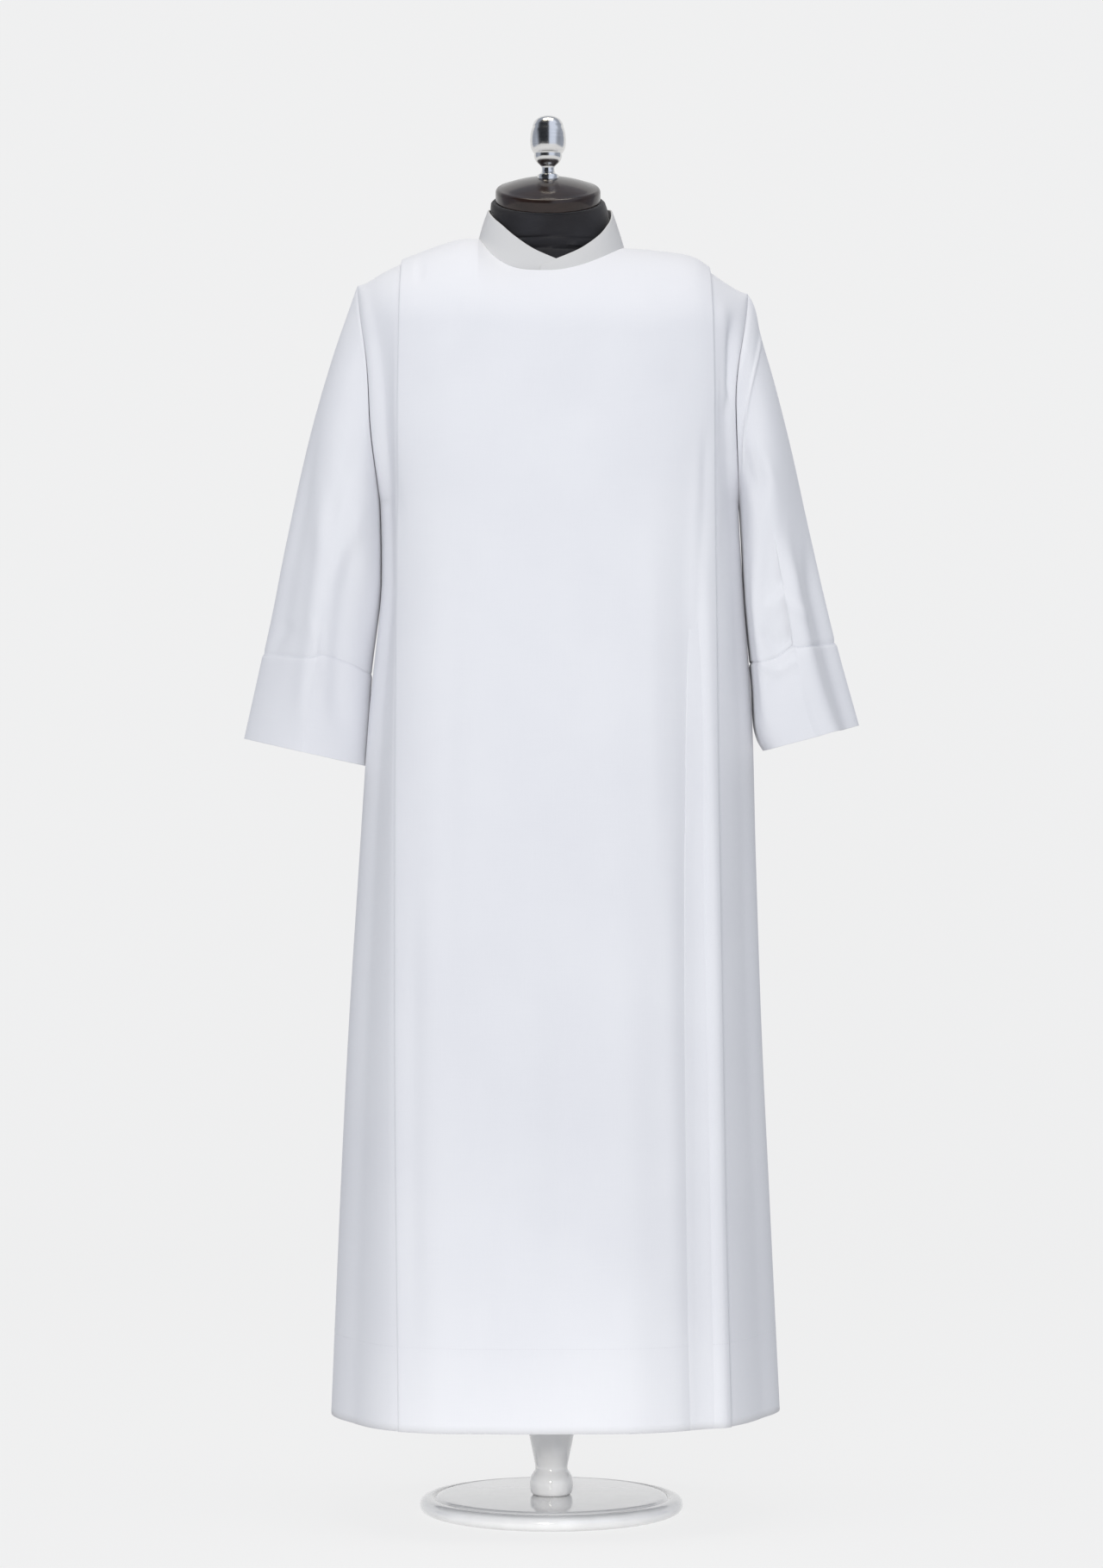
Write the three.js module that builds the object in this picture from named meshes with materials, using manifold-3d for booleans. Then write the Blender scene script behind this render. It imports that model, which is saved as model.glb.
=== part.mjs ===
// An alb hung on a limbless dress form with a round base.
// Millimetres, +Z up, origin at the centre of the base's underside. The front faces -Y.
// Left is -X and right is +X, as seen from the front.
import * as THREE from "three";
import { mergeVertices } from "three/addons/utils/BufferGeometryUtils.js";
import Module from "manifold-3d";

// Cloth
const clothThickness = 1.5;
const seamGap = 0.3;
const hemHeight = 126;
const armpitHeight = 1225;

// The body of the garment in level sections: half widths to each side, depths to front and back,
// and how square each front and back corner is (2 is an ellipse).
const bodySections = [
  { height: 100, left: 267, right: 278, front: 232, back: 224, squareLeft: 3.2, squareRight: 2.4 },
  { height: 370, left: 256, right: 265, front: 213, back: 207, squareLeft: 3.1, squareRight: 2.4 },
  { height: 580, left: 246, right: 255, front: 197, back: 191, squareLeft: 3.0, squareRight: 2.5 },
  { height: 790, left: 233, right: 248, front: 181, back: 174, squareLeft: 2.9, squareRight: 2.5 },
  { height: 970, left: 218, right: 243, front: 164, back: 157, squareLeft: 2.8, squareRight: 2.6 },
  { height: 1125, left: 203.8, right: 232, front: 147, back: 140, squareLeft: 2.8, squareRight: 2.7 },
  { height: 1225, left: 207, right: 227, front: 137, back: 129, squareLeft: 2.9, squareRight: 2.8 },
  { height: 1330, left: 228, right: 231, front: 128, back: 118, squareLeft: 3.0, squareRight: 3.0 },
  { height: 1430, left: 234, right: 237, front: 119, back: 108, squareLeft: 3.0, squareRight: 3.0 },
  { height: 1500, left: 236, right: 239, front: 112, back: 102, squareLeft: 2.9, squareRight: 2.9 },
  { height: 1570, left: 238, right: 241, front: 108, back: 98, squareLeft: 2.8, squareRight: 2.8 },
];

// The shoulder seam from the left tip to the right tip, with the neck ring between the two halves.
const shoulderSeam = {
  left: [
    { across: 80, height: 1545 },
    { across: 105, height: 1545 },
    { across: 129, height: 1539 },
    { across: 162, height: 1527 },
    { across: 190, height: 1516 },
    { across: 207, height: 1508 },
    { across: 236, height: 1488 },
  ],
  right: [
    { across: 80, height: 1534 },
    { across: 130, height: 1530 },
    { across: 171, height: 1523 },
    { across: 194, height: 1509 },
    { across: 207, height: 1500 },
    { across: 239, height: 1478 },
  ],
};
const shoulderRoundAtNeck = 112;
const shoulderRoundAtTip = 74;

// Neckline ring
const neckHalfWidth = 88;
const neckFrontDepth = 82;
const neckBackDepth = 79;
const neckFrontHeight = 1498;
const neckBackHeight = 1552;
const neckFrontCurve = { left: 3.4, right: 1.7 };
const neckSteps = 10;
const neckDipFrom = 14;
const neckDipTo = 90;

// Armhole, as the distance of its front and back edge from the side seam plane
const armholeFront = 64;
const armholeBack = 62;
const armholeFullness = 0.6;
const armholeGap = 0.45;

// Two knife pleats on the front and two on the back. The fold edge of each faces its side seam.
const pleats = {
  left: [
    { height: 126, edge: 178, depth: 50 },
    { height: 600, edge: 184, depth: 42 },
    { height: 1000, edge: 185, depth: 33 },
    { height: 1330, edge: 183, depth: 24 },
    { height: 1530, edge: 180, depth: 16 },
  ],
  right: [
    { height: 126, edge: 210, depth: 50 },
    { height: 370, edge: 204, depth: 45 },
    { height: 890, edge: 196, depth: 34 },
    { height: 1330, edge: 194, depth: 24 },
    { height: 1530, edge: 190, depth: 16 },
  ],
};
const pleatLayerGap = 1.0;

// Soft folds of the front and back: where each runs, how wide it is and how far it stands out.
const softFolds = {
  front: [
    { bottom: 170, top: 158, width: 20, out: -9, from: 126, to: 1330 },
    { bottom: 195, top: 182, width: 15, out: 4, from: 126, to: 1300 },
    { bottom: 96, top: 84, width: 26, out: 4, from: 126, to: 900 },
    { bottom: -132, top: -140, width: 22, out: 3, from: 126, to: 1000 },
    { bottom: 20, top: 6, width: 34, out: -4, from: 126, to: 760 },
    { bottom: -78, top: -70, width: 24, out: -3, from: 126, to: 820 },
  ],
  back: [
    { bottom: -160, top: -150, width: 20, out: -8, from: 126, to: 1300 },
    { bottom: 150, top: 148, width: 22, out: -7, from: 126, to: 1220 },
    { bottom: -62, top: -44, width: 30, out: 5, from: 126, to: 940 },
    { bottom: 8, top: 10, width: 26, out: -6, from: 126, to: 1040 },
    { bottom: 78, top: 62, width: 28, out: 5, from: 126, to: 860 },
  ],
};

// Sleeves: the outer line from the shoulder tip to the mouth, and the inner line from the armpit.
const sleeves = {
  left: {
    outer: [
      { height: 938, across: 373 },
      { height: 1037, across: 351 },
      { height: 1087, across: 340 },
      { height: 1170, across: 323.5 },
      { height: 1302, across: 294 },
      { height: 1401, across: 266 },
      { height: 1489, across: 236 },
    ],
    inner: [
      { height: 905, across: 224 },
      { height: 1010, across: 219 },
      { height: 1125, across: 206 },
      { height: 1225, across: 208 },
    ],
    frontDepth: [{ along: 0, value: 64 }, { along: 0.35, value: 70 }, { along: 1, value: 63 }],
    backDepth: [{ along: 0, value: 62 }, { along: 0.35, value: 66 }, { along: 1, value: 62 }],
    hemStart: 0.815,
  },
  right: {
    outer: [
      { height: 954, across: 373 },
      { height: 1060, across: 343.5 },
      { height: 1191, across: 313 },
      { height: 1286, across: 292 },
      { height: 1369, across: 271 },
      { height: 1430, across: 254 },
      { height: 1460, across: 248 },
      { height: 1479, across: 239 },
    ],
    inner: [
      { height: 924, across: 259 },
      { height: 936, across: 252 },
      { height: 955, across: 247 },
      { height: 1005, across: 244 },
      { height: 1110, across: 234 },
      { height: 1225, across: 229 },
    ],
    frontDepth: [{ along: 0, value: 64 }, { along: 0.35, value: 74 }, { along: 1, value: 80 }],
    backDepth: [{ along: 0, value: 62 }, { along: 0.35, value: 72 }, { along: 1, value: 80 }],
    hemStart: 0.81,
  },
};
const sleeveStations = [0, 0.05, 0.11, 0.18, 0.26, 0.35, 0.45, 0.56, 0.68, 0.79];
const sleeveSquare = 2.3;
const sleeveBodyGap = 1.4;
const sleeveSetIn = 0.34;
const hemTurnStep = 0.012;
const hemLean = 0.16;
const mitreFrom = 1330;
const mitreTo = 1410;

// Collar band, by angle from the centre front towards the back
const collarThickness = 2;
const collarLean = { front: 0.31, back: 0.16 };
const collarGap = 0.95;
const collarRows = 4;
const collarUnderlap = 2.8;
const collarUnderEnd = 14;
const collarOverEnd = -9;
const collarOpenTurn = 4.2;
const collarTops = [
  { angle: -14, height: 1504 },
  { angle: 0, height: 1513 },
  { angle: 10, height: 1519 },
  { angle: 22, height: 1527 },
  { angle: 42, height: 1544 },
  { angle: 62, height: 1562 },
  { angle: 90, height: 1580 },
  { angle: 180, height: 1590 },
];

// Dress form: the covered torso and neck in level sections
const formSections = [
  { height: 806, left: 150, right: 150, front: 92, back: 92, square: 2.2, neck: 0 },
  { height: 812, left: 166, right: 166, front: 106, back: 108, square: 2.2, neck: 0 },
  { height: 900, left: 172, right: 172, front: 110, back: 116, square: 2.2, neck: 0 },
  { height: 1010, left: 162, right: 162, front: 104, back: 100, square: 2.2, neck: 0 },
  { height: 1110, left: 160, right: 162, front: 104, back: 92, square: 2.2, neck: 0 },
  { height: 1240, left: 172, right: 178, front: 110, back: 100, square: 2.3, neck: 0 },
  { height: 1340, left: 184, right: 186, front: 108, back: 100, square: 2.4, neck: 0 },
  { height: 1420, left: 188, right: 190, front: 98, back: 92, square: 2.4, neck: 60 },
  { height: 1465, left: 184, right: 188, front: 84, back: 80, square: 2.3, neck: 72 },
  { height: 1490, left: 174, right: 181, front: 64, back: 62, square: 2.2, neck: 74 },
  { height: 1508, left: 161, right: 170, front: 49, back: 50, square: 2.1, neck: 74 },
  { height: 1516, left: 156, right: 164, front: 40, back: 43, square: 2, neck: 74 },
  { height: 1522, left: 152, right: 154, front: 33, back: 35, square: 2, neck: 73.5 },
  { height: 1525.5, left: 149, right: 139, front: 20, back: 20, square: 2, neck: 73.5 },
  { height: 1528, left: 146, right: 119, front: 5, back: 5, square: 2, neck: 73 },
  { height: 1530.6, left: 141, right: 30, front: 10, back: 10, square: 2, neck: 72.5 },
  { height: 1537, left: 126, right: 30, front: 12, back: 12, square: 2, neck: 72.5 },
  { height: 1540.6, left: 111, right: 30, front: 10, back: 10, square: 2, neck: 72 },
  { height: 1541.3, left: 98, right: 30, front: 4, back: 4, square: 2, neck: 72 },
  { height: 1546, left: 30, right: 30, front: 4, back: 4, square: 2, neck: 71.5 },
  { height: 1568, left: 30, right: 30, front: 4, back: 4, square: 2, neck: 71 },
  { height: 1582, left: 30, right: 30, front: 4, back: 4, square: 2, neck: 70.8 },
  { height: 1588, left: 30, right: 30, front: 4, back: 4, square: 2, neck: 69.5 },
  { height: 1590.2, left: 30, right: 30, front: 4, back: 4, square: 2, neck: 67 },
];
const neckDepthShare = 0.92;
const ridgeBlend = 7;
const formPoints = 40;
const neckTilt = 20;
const neckTiltFrom = 1535;
const neckTopHeight = 1590.2;
const neckShift = -4.2;
const neckShiftFrom = 1562;

// Neck cap and finial
const capProfile = [
  { radius: 63.8, height: 0 },
  { radius: 63.8, height: 11.5 },
  { radius: 63, height: 14.5 },
  { radius: 61, height: 16.3 },
  { radius: 58.3, height: 17 },
];
const capDomeRise = 12;
const capDomeSteps = 5;
const capPole = 0.01;
const finialBase = 1620.5;
const finialProfile = [
  { radius: 13, height: 0 },
  { radius: 13, height: 2 },
  { radius: 9.5, height: 4.5 },
  { radius: 7.8, height: 8 },
  { radius: 8, height: 12 },
  { radius: 11, height: 15.5 },
  { radius: 14.6, height: 19 },
  { radius: 16.8, height: 23.5 },
  { radius: 16.8, height: 28 },
  { radius: 19.6, height: 32 },
  { radius: 21.4, height: 38 },
  { radius: 21.8, height: 45 },
  { radius: 21.2, height: 52.5 },
  { radius: 19.6, height: 59 },
  { radius: 18.2, height: 64 },
  { radius: 15.4, height: 69 },
  { radius: 11.4, height: 72 },
  { radius: 6, height: 74 },
];
const finialFoot = 7;

// Stand: base plate, turned post and the pole up into the form
const baseProfile = [
  { radius: 152, height: 0 },
  { radius: 158, height: 3 },
  { radius: 160, height: 8.5 },
  { radius: 158.5, height: 14 },
  { radius: 153, height: 17.6 },
  { radius: 145, height: 18.4 },
  { radius: 143, height: 16 },
  { radius: 141, height: 16 },
  { radius: 138.5, height: 19 },
  { radius: 132, height: 20 },
];
const baseTop = 20;
const postProfile = [
  { radius: 22.5, height: 0 },
  { radius: 25, height: 3 },
  { radius: 26.4, height: 11 },
  { radius: 26, height: 19 },
  { radius: 23.5, height: 25 },
  { radius: 20, height: 29.5 },
  { radius: 19.6, height: 34 },
  { radius: 23, height: 51 },
  { radius: 28.5, height: 79 },
  { radius: 33, height: 112 },
  { radius: 34, height: 132 },
  { radius: 30, height: 146 },
  { radius: 22, height: 152 },
];
const poleRadius = 16;
const formBottom = 806;
const contactGap = 0.3;
const roundSteps = 32;
const smallRoundSteps = 22;

const radians = Math.PI / 180;

// Value of a column of a table at a place, on a smooth curve through its rows.
function read(table, place, column, at) {
  const last = table.length - 1;
  if (at <= table[0][place]) return table[0][column];
  if (at >= table[last][place]) return table[last][column];
  const next = table.findIndex((row) => row[place] >= at);
  const slope = (low, high) =>
    (table[high][column] - table[low][column]) / (table[high][place] - table[low][place]);
  const before = Math.max(next - 2, 0);
  const after = Math.min(next + 1, last);
  const span = table[next][place] - table[next - 1][place];
  const middle = slope(next - 1, next);
  const most = 3 * Math.abs(middle);
  const steady = (side) => (side * middle <= 0 ? 0 : THREE.MathUtils.clamp(side, -most, most));
  const start = steady(slope(before, next));
  const end = steady(slope(next - 1, after));
  const t = (at - table[next - 1][place]) / span;
  const rise = 3 * t ** 2 - 2 * t ** 3;
  const level = table[next - 1][column] * (1 - rise) + table[next][column] * rise;
  return level + start * span * (t ** 3 - 2 * t ** 2 + t) + end * span * (t ** 3 - t ** 2);
}

const smooth = (from, to, at) => THREE.MathUtils.smoothstep(at, from, to);
const mix = THREE.MathUtils.lerp;

// A closed body from an outer and an inner grid of points, both with the bottom row first.
function wallGeometry(outer, inner, closed) {
  const rows = outer.length;
  const columns = outer[0].length;
  const corner = (side, row, column) => (side * rows + row) * columns + (column % columns);
  const triangles = [];
  const quad = (a, b, c, d) => triangles.push(a, b, c, a, c, d);
  const spans = closed ? columns : columns - 1;
  const top = rows - 1;
  for (let c = 0; c < spans; c++) {
    for (let r = 0; r < top; r++) {
      quad(corner(0, r, c), corner(0, r, c + 1), corner(0, r + 1, c + 1), corner(0, r + 1, c));
      quad(corner(1, r, c), corner(1, r + 1, c), corner(1, r + 1, c + 1), corner(1, r, c + 1));
    }
    quad(corner(0, 0, c), corner(1, 0, c), corner(1, 0, c + 1), corner(0, 0, c + 1));
    quad(corner(0, top, c), corner(0, top, c + 1), corner(1, top, c + 1), corner(1, top, c));
  }
  for (let r = 0; r < top && !closed; r++) {
    quad(corner(0, r, 0), corner(0, r + 1, 0), corner(1, r + 1, 0), corner(1, r, 0));
    quad(corner(0, r, spans), corner(1, r, spans), corner(1, r + 1, spans), corner(0, r + 1, spans));
  }
  return bodyGeometry([...outer.flat(), ...inner.flat()], triangles);
}

// A closed body lofted through rings, with a fan at each end.
function loftGeometry(rings) {
  const count = rings[0].length;
  const points = rings.flat();
  const triangles = [];
  for (let r = 0; r + 1 < rings.length; r++) {
    for (let i = 0; i < count; i++) {
      const a = r * count + i;
      const b = r * count + ((i + 1) % count);
      triangles.push(a, b, b + count, a, b + count, a + count);
    }
  }
  const centre = (ring) => ring.reduce((sum, p) => sum.add(p), new THREE.Vector3()).divideScalar(count);
  points.push(centre(rings[0]), centre(rings.at(-1)));
  const lastRing = (rings.length - 1) * count;
  for (let i = 0; i < count; i++) {
    const next = (i + 1) % count;
    triangles.push(points.length - 2, next, i);
    triangles.push(points.length - 1, lastRing + i, lastRing + next);
  }
  return bodyGeometry(points, triangles);
}

// Indexed geometry whose faces point out.
function bodyGeometry(points, triangles) {
  let volume = 0;
  for (let i = 0; i < triangles.length; i += 3) {
    const [a, b, c] = [points[triangles[i]], points[triangles[i + 1]], points[triangles[i + 2]]];
    volume += a.dot(new THREE.Vector3().crossVectors(b, c));
  }
  if (volume < 0) triangles.reverse();
  const geometry = new THREE.BufferGeometry().setFromPoints(points);
  geometry.setIndex(triangles);
  geometry.computeVertexNormals();
  return geometry;
}

// A turned body about the upright axis from a profile of radius and height rows.
function turnedGeometry(profile, steps) {
  const points = profile.map((row) => new THREE.Vector2(row.radius, row.height));
  const bottom = new THREE.Vector2(0, profile[0].height);
  const top = new THREE.Vector2(0, profile.at(-1).height);
  return new THREE.LatheGeometry([bottom, ...points, top], steps).rotateX(Math.PI / 2);
}

// ---- Body panels ----

function neckHeight(across, side) {
  const share = Math.min(Math.abs(across) / neckHalfWidth, 1);
  const table = across < 0 ? shoulderSeam.left : shoulderSeam.right;
  const sideHeight = read(table, "across", "height", neckHalfWidth);
  const curve = across < 0 ? neckFrontCurve.left : neckFrontCurve.right;
  if (side < 0) return mix(neckFrontHeight, sideHeight, share ** curve);
  return mix(sideHeight, neckBackHeight, Math.sqrt(1 - share ** 2));
}

function neckDepth(across, side) {
  const share = Math.min(Math.abs(across) / neckHalfWidth, 1);
  return (side < 0 ? neckFrontDepth : neckBackDepth) * Math.sqrt(1 - share ** 2);
}

function shoulderRound(across) {
  const share = smooth(neckHalfWidth, 236, Math.abs(across));
  return mix(shoulderRoundAtNeck, shoulderRoundAtTip, share);
}

// Level section of the garment at a height, on the side that the sign of across gives.
function sectionAt(height, across, side) {
  const column = (name) => read(bodySections, "height", name, height);
  return {
    half: column(across < 0 ? "left" : "right"),
    depth: column(side < 0 ? "front" : "back"),
    square: column(across < 0 ? "squareLeft" : "squareRight"),
  };
}

function seamHeight(hand, across) {
  return read(shoulderSeam[hand], "across", "height", across);
}

// Height at which a lengthwise line of the panel would reach the shoulder ridge. Under the neck
// ring the surface dips to the neckline, and this dip fades out further down.
function ridgeHeight(across, side, height = Infinity) {
  if (Math.abs(across) >= neckHalfWidth) return seamHeight(across < 0 ? "left" : "right", Math.abs(across));
  const top = neckHeight(across, side);
  const section = sectionAt(top, across, side);
  const open = 1 - (Math.abs(across) / section.half) ** section.square;
  const full = section.depth * open ** (1 / section.square);
  const share = Math.min(neckDepth(across, side) / full, 1);
  const dipped = top + shoulderRound(across) * (1 - Math.sqrt(1 - share ** 2));
  const turn = 0.5 + (0.5 * across) / neckHalfWidth;
  const level = mix(seamHeight("left", neckHalfWidth), seamHeight("right", neckHalfWidth), turn);
  return mix(dipped, Math.max(dipped, level), smooth(neckDipFrom, neckDipTo, dipped - height));
}

// A point of the smooth body surface. The angle is 0 at the right side seam and PI at the left one.
function bodyPoint(angle, height, side) {
  const cosine = Math.cos(angle);
  const section = sectionAt(height, cosine, side);
  const across = Math.sign(cosine) * section.half * Math.abs(cosine) ** (2 / section.square);
  const drop = ridgeHeight(across, side, height) - height;
  const below = THREE.MathUtils.clamp(drop / shoulderRound(across), 0, 1);
  const round = Math.sqrt(1 - (1 - below) ** 2);
  const depth = section.depth * Math.abs(Math.sin(angle)) ** (2 / section.square) * round;
  return new THREE.Vector3(across, side * depth, height);
}

function bodyNormal(angle, height, side) {
  const turn = THREE.MathUtils.clamp(angle, 0.03, Math.PI - 0.03);
  const along = bodyPoint(turn + 0.02, height, side).sub(bodyPoint(turn - 0.02, height, side));
  const up = bodyPoint(turn, height + 1, side).sub(bodyPoint(turn, height - 3, side));
  return along.cross(up).normalize().multiplyScalar(side);
}

function angleOf(across, height, side) {
  const section = sectionAt(height, across, side);
  const share = Math.min(Math.abs(across) / section.half, 1) ** (section.square / 2);
  return Math.acos(Math.sign(across) * share);
}

// Angle of the panel's outer edge: the side seam, and the armhole above the armpit.
function edgeAngle(height, hand, side) {
  const tip = shoulderSeam[hand].at(-1).height;
  const share = THREE.MathUtils.clamp((height - armpitHeight) / (tip - armpitHeight), 0, 1);
  const reach = (side < 0 ? armholeFront : armholeBack) * Math.sin(Math.PI * share) ** armholeFullness;
  const section = sectionAt(height, hand === "left" ? -1 : 1, side);
  const angle = Math.asin((reach / section.depth) ** (section.square / 2));
  return hand === "left" ? Math.PI - angle : angle;
}

// How far the soft folds stand out at a place on the panel.
function foldOut(across, height, side) {
  const folds = side < 0 ? softFolds.front : softFolds.back;
  return folds.reduce((sum, fold) => {
    const centre = mix(fold.bottom, fold.top, (height - fold.from) / (fold.to - fold.from));
    const fade = 1 - smooth(mix(fold.from, fold.to, 0.45), fold.to, height);
    return sum + fold.out * fade * Math.exp(-(((across - centre) / fold.width) ** 2));
  }, 0);
}

// The lengthwise lines of one half of a panel, from its outer edge to the neck.
// Each line has the angle at which it lies at a height, and how deep its two faces lie.
function halfLines(hand, side) {
  const sign = hand === "left" ? -1 : 1;
  const wall = clothThickness;
  const layer = wall + pleatLayerGap;
  const returnFace = layer + wall;
  const underFace = returnFace + pleatLayerGap;
  const pleat = (height, share) => {
    const edge = read(pleats[hand], "height", "edge", height);
    return edge - share * read(pleats[hand], "height", "depth", height);
  };
  const atEdge = (height, share, shift) => angleOf(sign * (pleat(height, share) + shift), height, side);
  const line = (angleAt, face, back, options) => ({ angleAt, face, back, ...options });
  const pleatLine = (share, face, back, shiftFace = 0, shiftBack = 0) =>
    line((height) => atEdge(height, share, 0), face, back, {
      faceAngle: (height) => atEdge(height, share, shiftFace),
      backAngle: (height) => atEdge(height, share, shiftBack),
    });
  const sideLine = (share) =>
    line(
      (height) => mix(edgeAngle(height, hand, side), atEdge(height, 0, 7), share),
      underFace * smooth(0, 0.9, share),
      underFace * smooth(0, 0.9, share) + wall,
      { edge: share === 0 },
    );
  const turn = returnFace / 2;
  const innerTurn = (underFace + returnFace) / 2;
  return [
    ...[0, 0.18, 0.38, 0.6, 0.82, 1].map(sideLine),
    ...[0, 0.5, 1].map((share) => pleatLine(share, underFace, underFace + wall)),
    pleatLine(1, innerTurn, innerTurn, -0.5, -0.5 - wall),
    ...[1, 0.5, 0].map((share) => pleatLine(share, returnFace, layer)),
    pleatLine(0, turn, turn, turn, turn - wall),
    ...[0, 0.5, 1].map((share) => pleatLine(share, 0, wall)),
  ];
}

function middleLines(side) {
  const inner = (hand) => {
    const row = pleats[hand].at(-1);
    return row.edge - row.depth;
  };
  const steady = (across) => ({ across, face: 0, back: clothThickness });
  const lines = [];
  [0.33, 0.66].forEach((share) => lines.push(steady(-mix(inner("left"), neckHalfWidth, share))));
  for (let i = 0; i <= neckSteps; i++) {
    const turn = mix(-90, 90, i / neckSteps);
    lines.push({ ...steady(neckHalfWidth * Math.sin(turn * radians)), turn });
  }
  [0.66, 0.33].forEach((share) => lines.push(steady(mix(inner("right"), neckHalfWidth, share))));
  return lines.map((line) => ({
    ...line,
    angleAt: (height) => angleOf(spreadAcross(line.across, height), height, side),
  }));
}

// Lines between the pleats spread with the panel as it widens towards the hem.
function spreadAcross(across, height) {
  const hand = across < 0 ? "left" : "right";
  const column = (name, at) => read(pleats[hand], "height", name, at);
  const inner = (at) => column("edge", at) - column("depth", at);
  const top = inner(Infinity);
  const share = smooth(neckHalfWidth, top, Math.abs(across));
  return across + Math.sign(across) * share * (inner(height) - top);
}

const skirtRows = 9;
const upperRows = 12;

// Height of a line's top: the shoulder seam, or the neckline for lines under the neck.
function topOf(line, side) {
  if (line.turn !== undefined) return neckHeight(line.across, side);
  let height = armpitHeight + 270;
  for (let i = 0; i < 12; i++) height = ridgeHeight(bodyPoint(line.angleAt(height), height, side).x, side);
  return height;
}

function rowHeight(row, top) {
  if (row <= skirtRows) return mix(hemHeight, armpitHeight, row / skirtRows);
  const share = (row - skirtRows) / upperRows;
  return mix(armpitHeight, top, 0.5 - 0.5 * Math.cos(Math.PI * share));
}

// Outer and inner grids of one panel, and the direction through the cloth at each point.
function panelGrids(side) {
  const lines = [...halfLines("left", side), ...middleLines(side), ...halfLines("right", side).reverse()];
  const outer = [];
  const inner = [];
  const normals = [];
  const tops = lines.map((line) => topOf(line, side));
  for (let row = 0; row <= skirtRows + upperRows; row++) {
    const last = row === skirtRows + upperRows;
    const points = lines.map((line, i) => panelPoint(line, tops[i], row, last, side));
    outer.push(points.map((point) => point.face));
    inner.push(points.map((point) => point.back));
    normals.push(points.map((point) => point.normal));
  }
  return { outer, inner, normals, lines };
}

function panelPoint(line, top, row, last, side) {
  const height = rowHeight(row, top);
  const angle = line.angleAt(height);
  const normal = bodyNormal(angle, height, side);
  const onNeck = last && line.turn !== undefined;
  const flatten = (last && !onNeck) || (line.edge && row <= skirtRows);
  if (flatten) normal.setY(0).normalize();
  if (onNeck) normal.set(Math.sin(line.turn * radians), side * Math.cos(line.turn * radians), 0);
  if (last && Math.abs(line.turn) === 90) normal.setZ(1).normalize();
  const across = bodyPoint(angle, height, side).x;
  const out = foldOut(across, height, side) * (onNeck ? 0 : 1);
  const put = (faceAngle, inward) => {
    const point = bodyPoint(faceAngle(height), height, side).addScaledVector(normal, out - inward);
    if (flatten) point.y = (side * seamGap) / 2;
    if (onNeck) point.y += (side * seamGap) / 2;
    return point;
  };
  return {
    face: put(line.faceAngle ?? line.angleAt, line.face),
    back: put(line.backAngle ?? line.angleAt, line.back),
    normal,
  };
}

// ---- Sleeves ----

function sleeveFrame(hand, along) {
  const sleeve = sleeves[hand];
  const sign = hand === "left" ? -1 : 1;
  const bottomOuter = sleeve.outer[0].height;
  const bottomInner = sleeve.inner[0].height;
  const outerHeight = mix(sleeve.outer.at(-1).height, bottomOuter, along);
  const innerHeight = mix(armpitHeight, bottomInner, along);
  const clear = read(bodySections, "height", hand, innerHeight) + sleeveBodyGap;
  const outerAcross = read(sleeve.outer, "height", "across", outerHeight);
  const innerAcross = Math.max(read(sleeve.inner, "height", "across", innerHeight), clear);
  const outer = new THREE.Vector3(sign * outerAcross, 0, outerHeight);
  const inner = new THREE.Vector3(sign * innerAcross, 0, innerHeight);
  return {
    centre: outer.clone().add(inner).multiplyScalar(0.5),
    reach: outer.clone().sub(inner).multiplyScalar(0.5),
    front: read(sleeve.frontDepth, "along", "value", along),
    back: read(sleeve.backDepth, "along", "value", along),
  };
}

// A point of the plain sleeve tube. The angle is 0 on the outer line and PI on the inner one.
function sleevePoint(hand, along, angle) {
  const frame = sleeveFrame(hand, along);
  const shape = (value) => Math.sign(value) * Math.abs(value) ** (2 / sleeveSquare);
  const across = shape(Math.cos(angle));
  const deep = shape(Math.sin(angle));
  const point = frame.centre.clone().addScaledVector(frame.reach, across);
  point.y -= deep * (deep > 0 ? frame.front : frame.back);
  return point;
}

function sleeveNormal(hand, along, angle) {
  const round = sleevePoint(hand, along, angle + 0.1).sub(sleevePoint(hand, along, angle - 0.1));
  const start = Math.min(along, 0.98);
  const down = sleevePoint(hand, start + 0.02, angle).sub(sleevePoint(hand, start, angle));
  const normal = round.cross(down).normalize();
  const outward = sleevePoint(hand, along, angle).sub(sleeveFrame(hand, along).centre);
  return normal.dot(outward) < 0 ? normal.negate() : normal;
}

// The armhole's points from the armpit up the front to the tip and down the back.
function armholeRing(hand, front, back) {
  const ring = [];
  const column = (grids) => (hand === "left" ? 0 : grids.outer[0].length - 1);
  const point = (grids, row) => ({
    grids,
    row,
    column: column(grids),
    edge: grids.outer[row][column(grids)],
    normal: grids.normals[row][column(grids)],
  });
  for (let row = 0; row < upperRows; row++) ring.push(point(front, skirtRows + row));
  for (let row = upperRows; row > 0; row--) ring.push(point(back, skirtRows + row));
  return ring;
}

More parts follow.
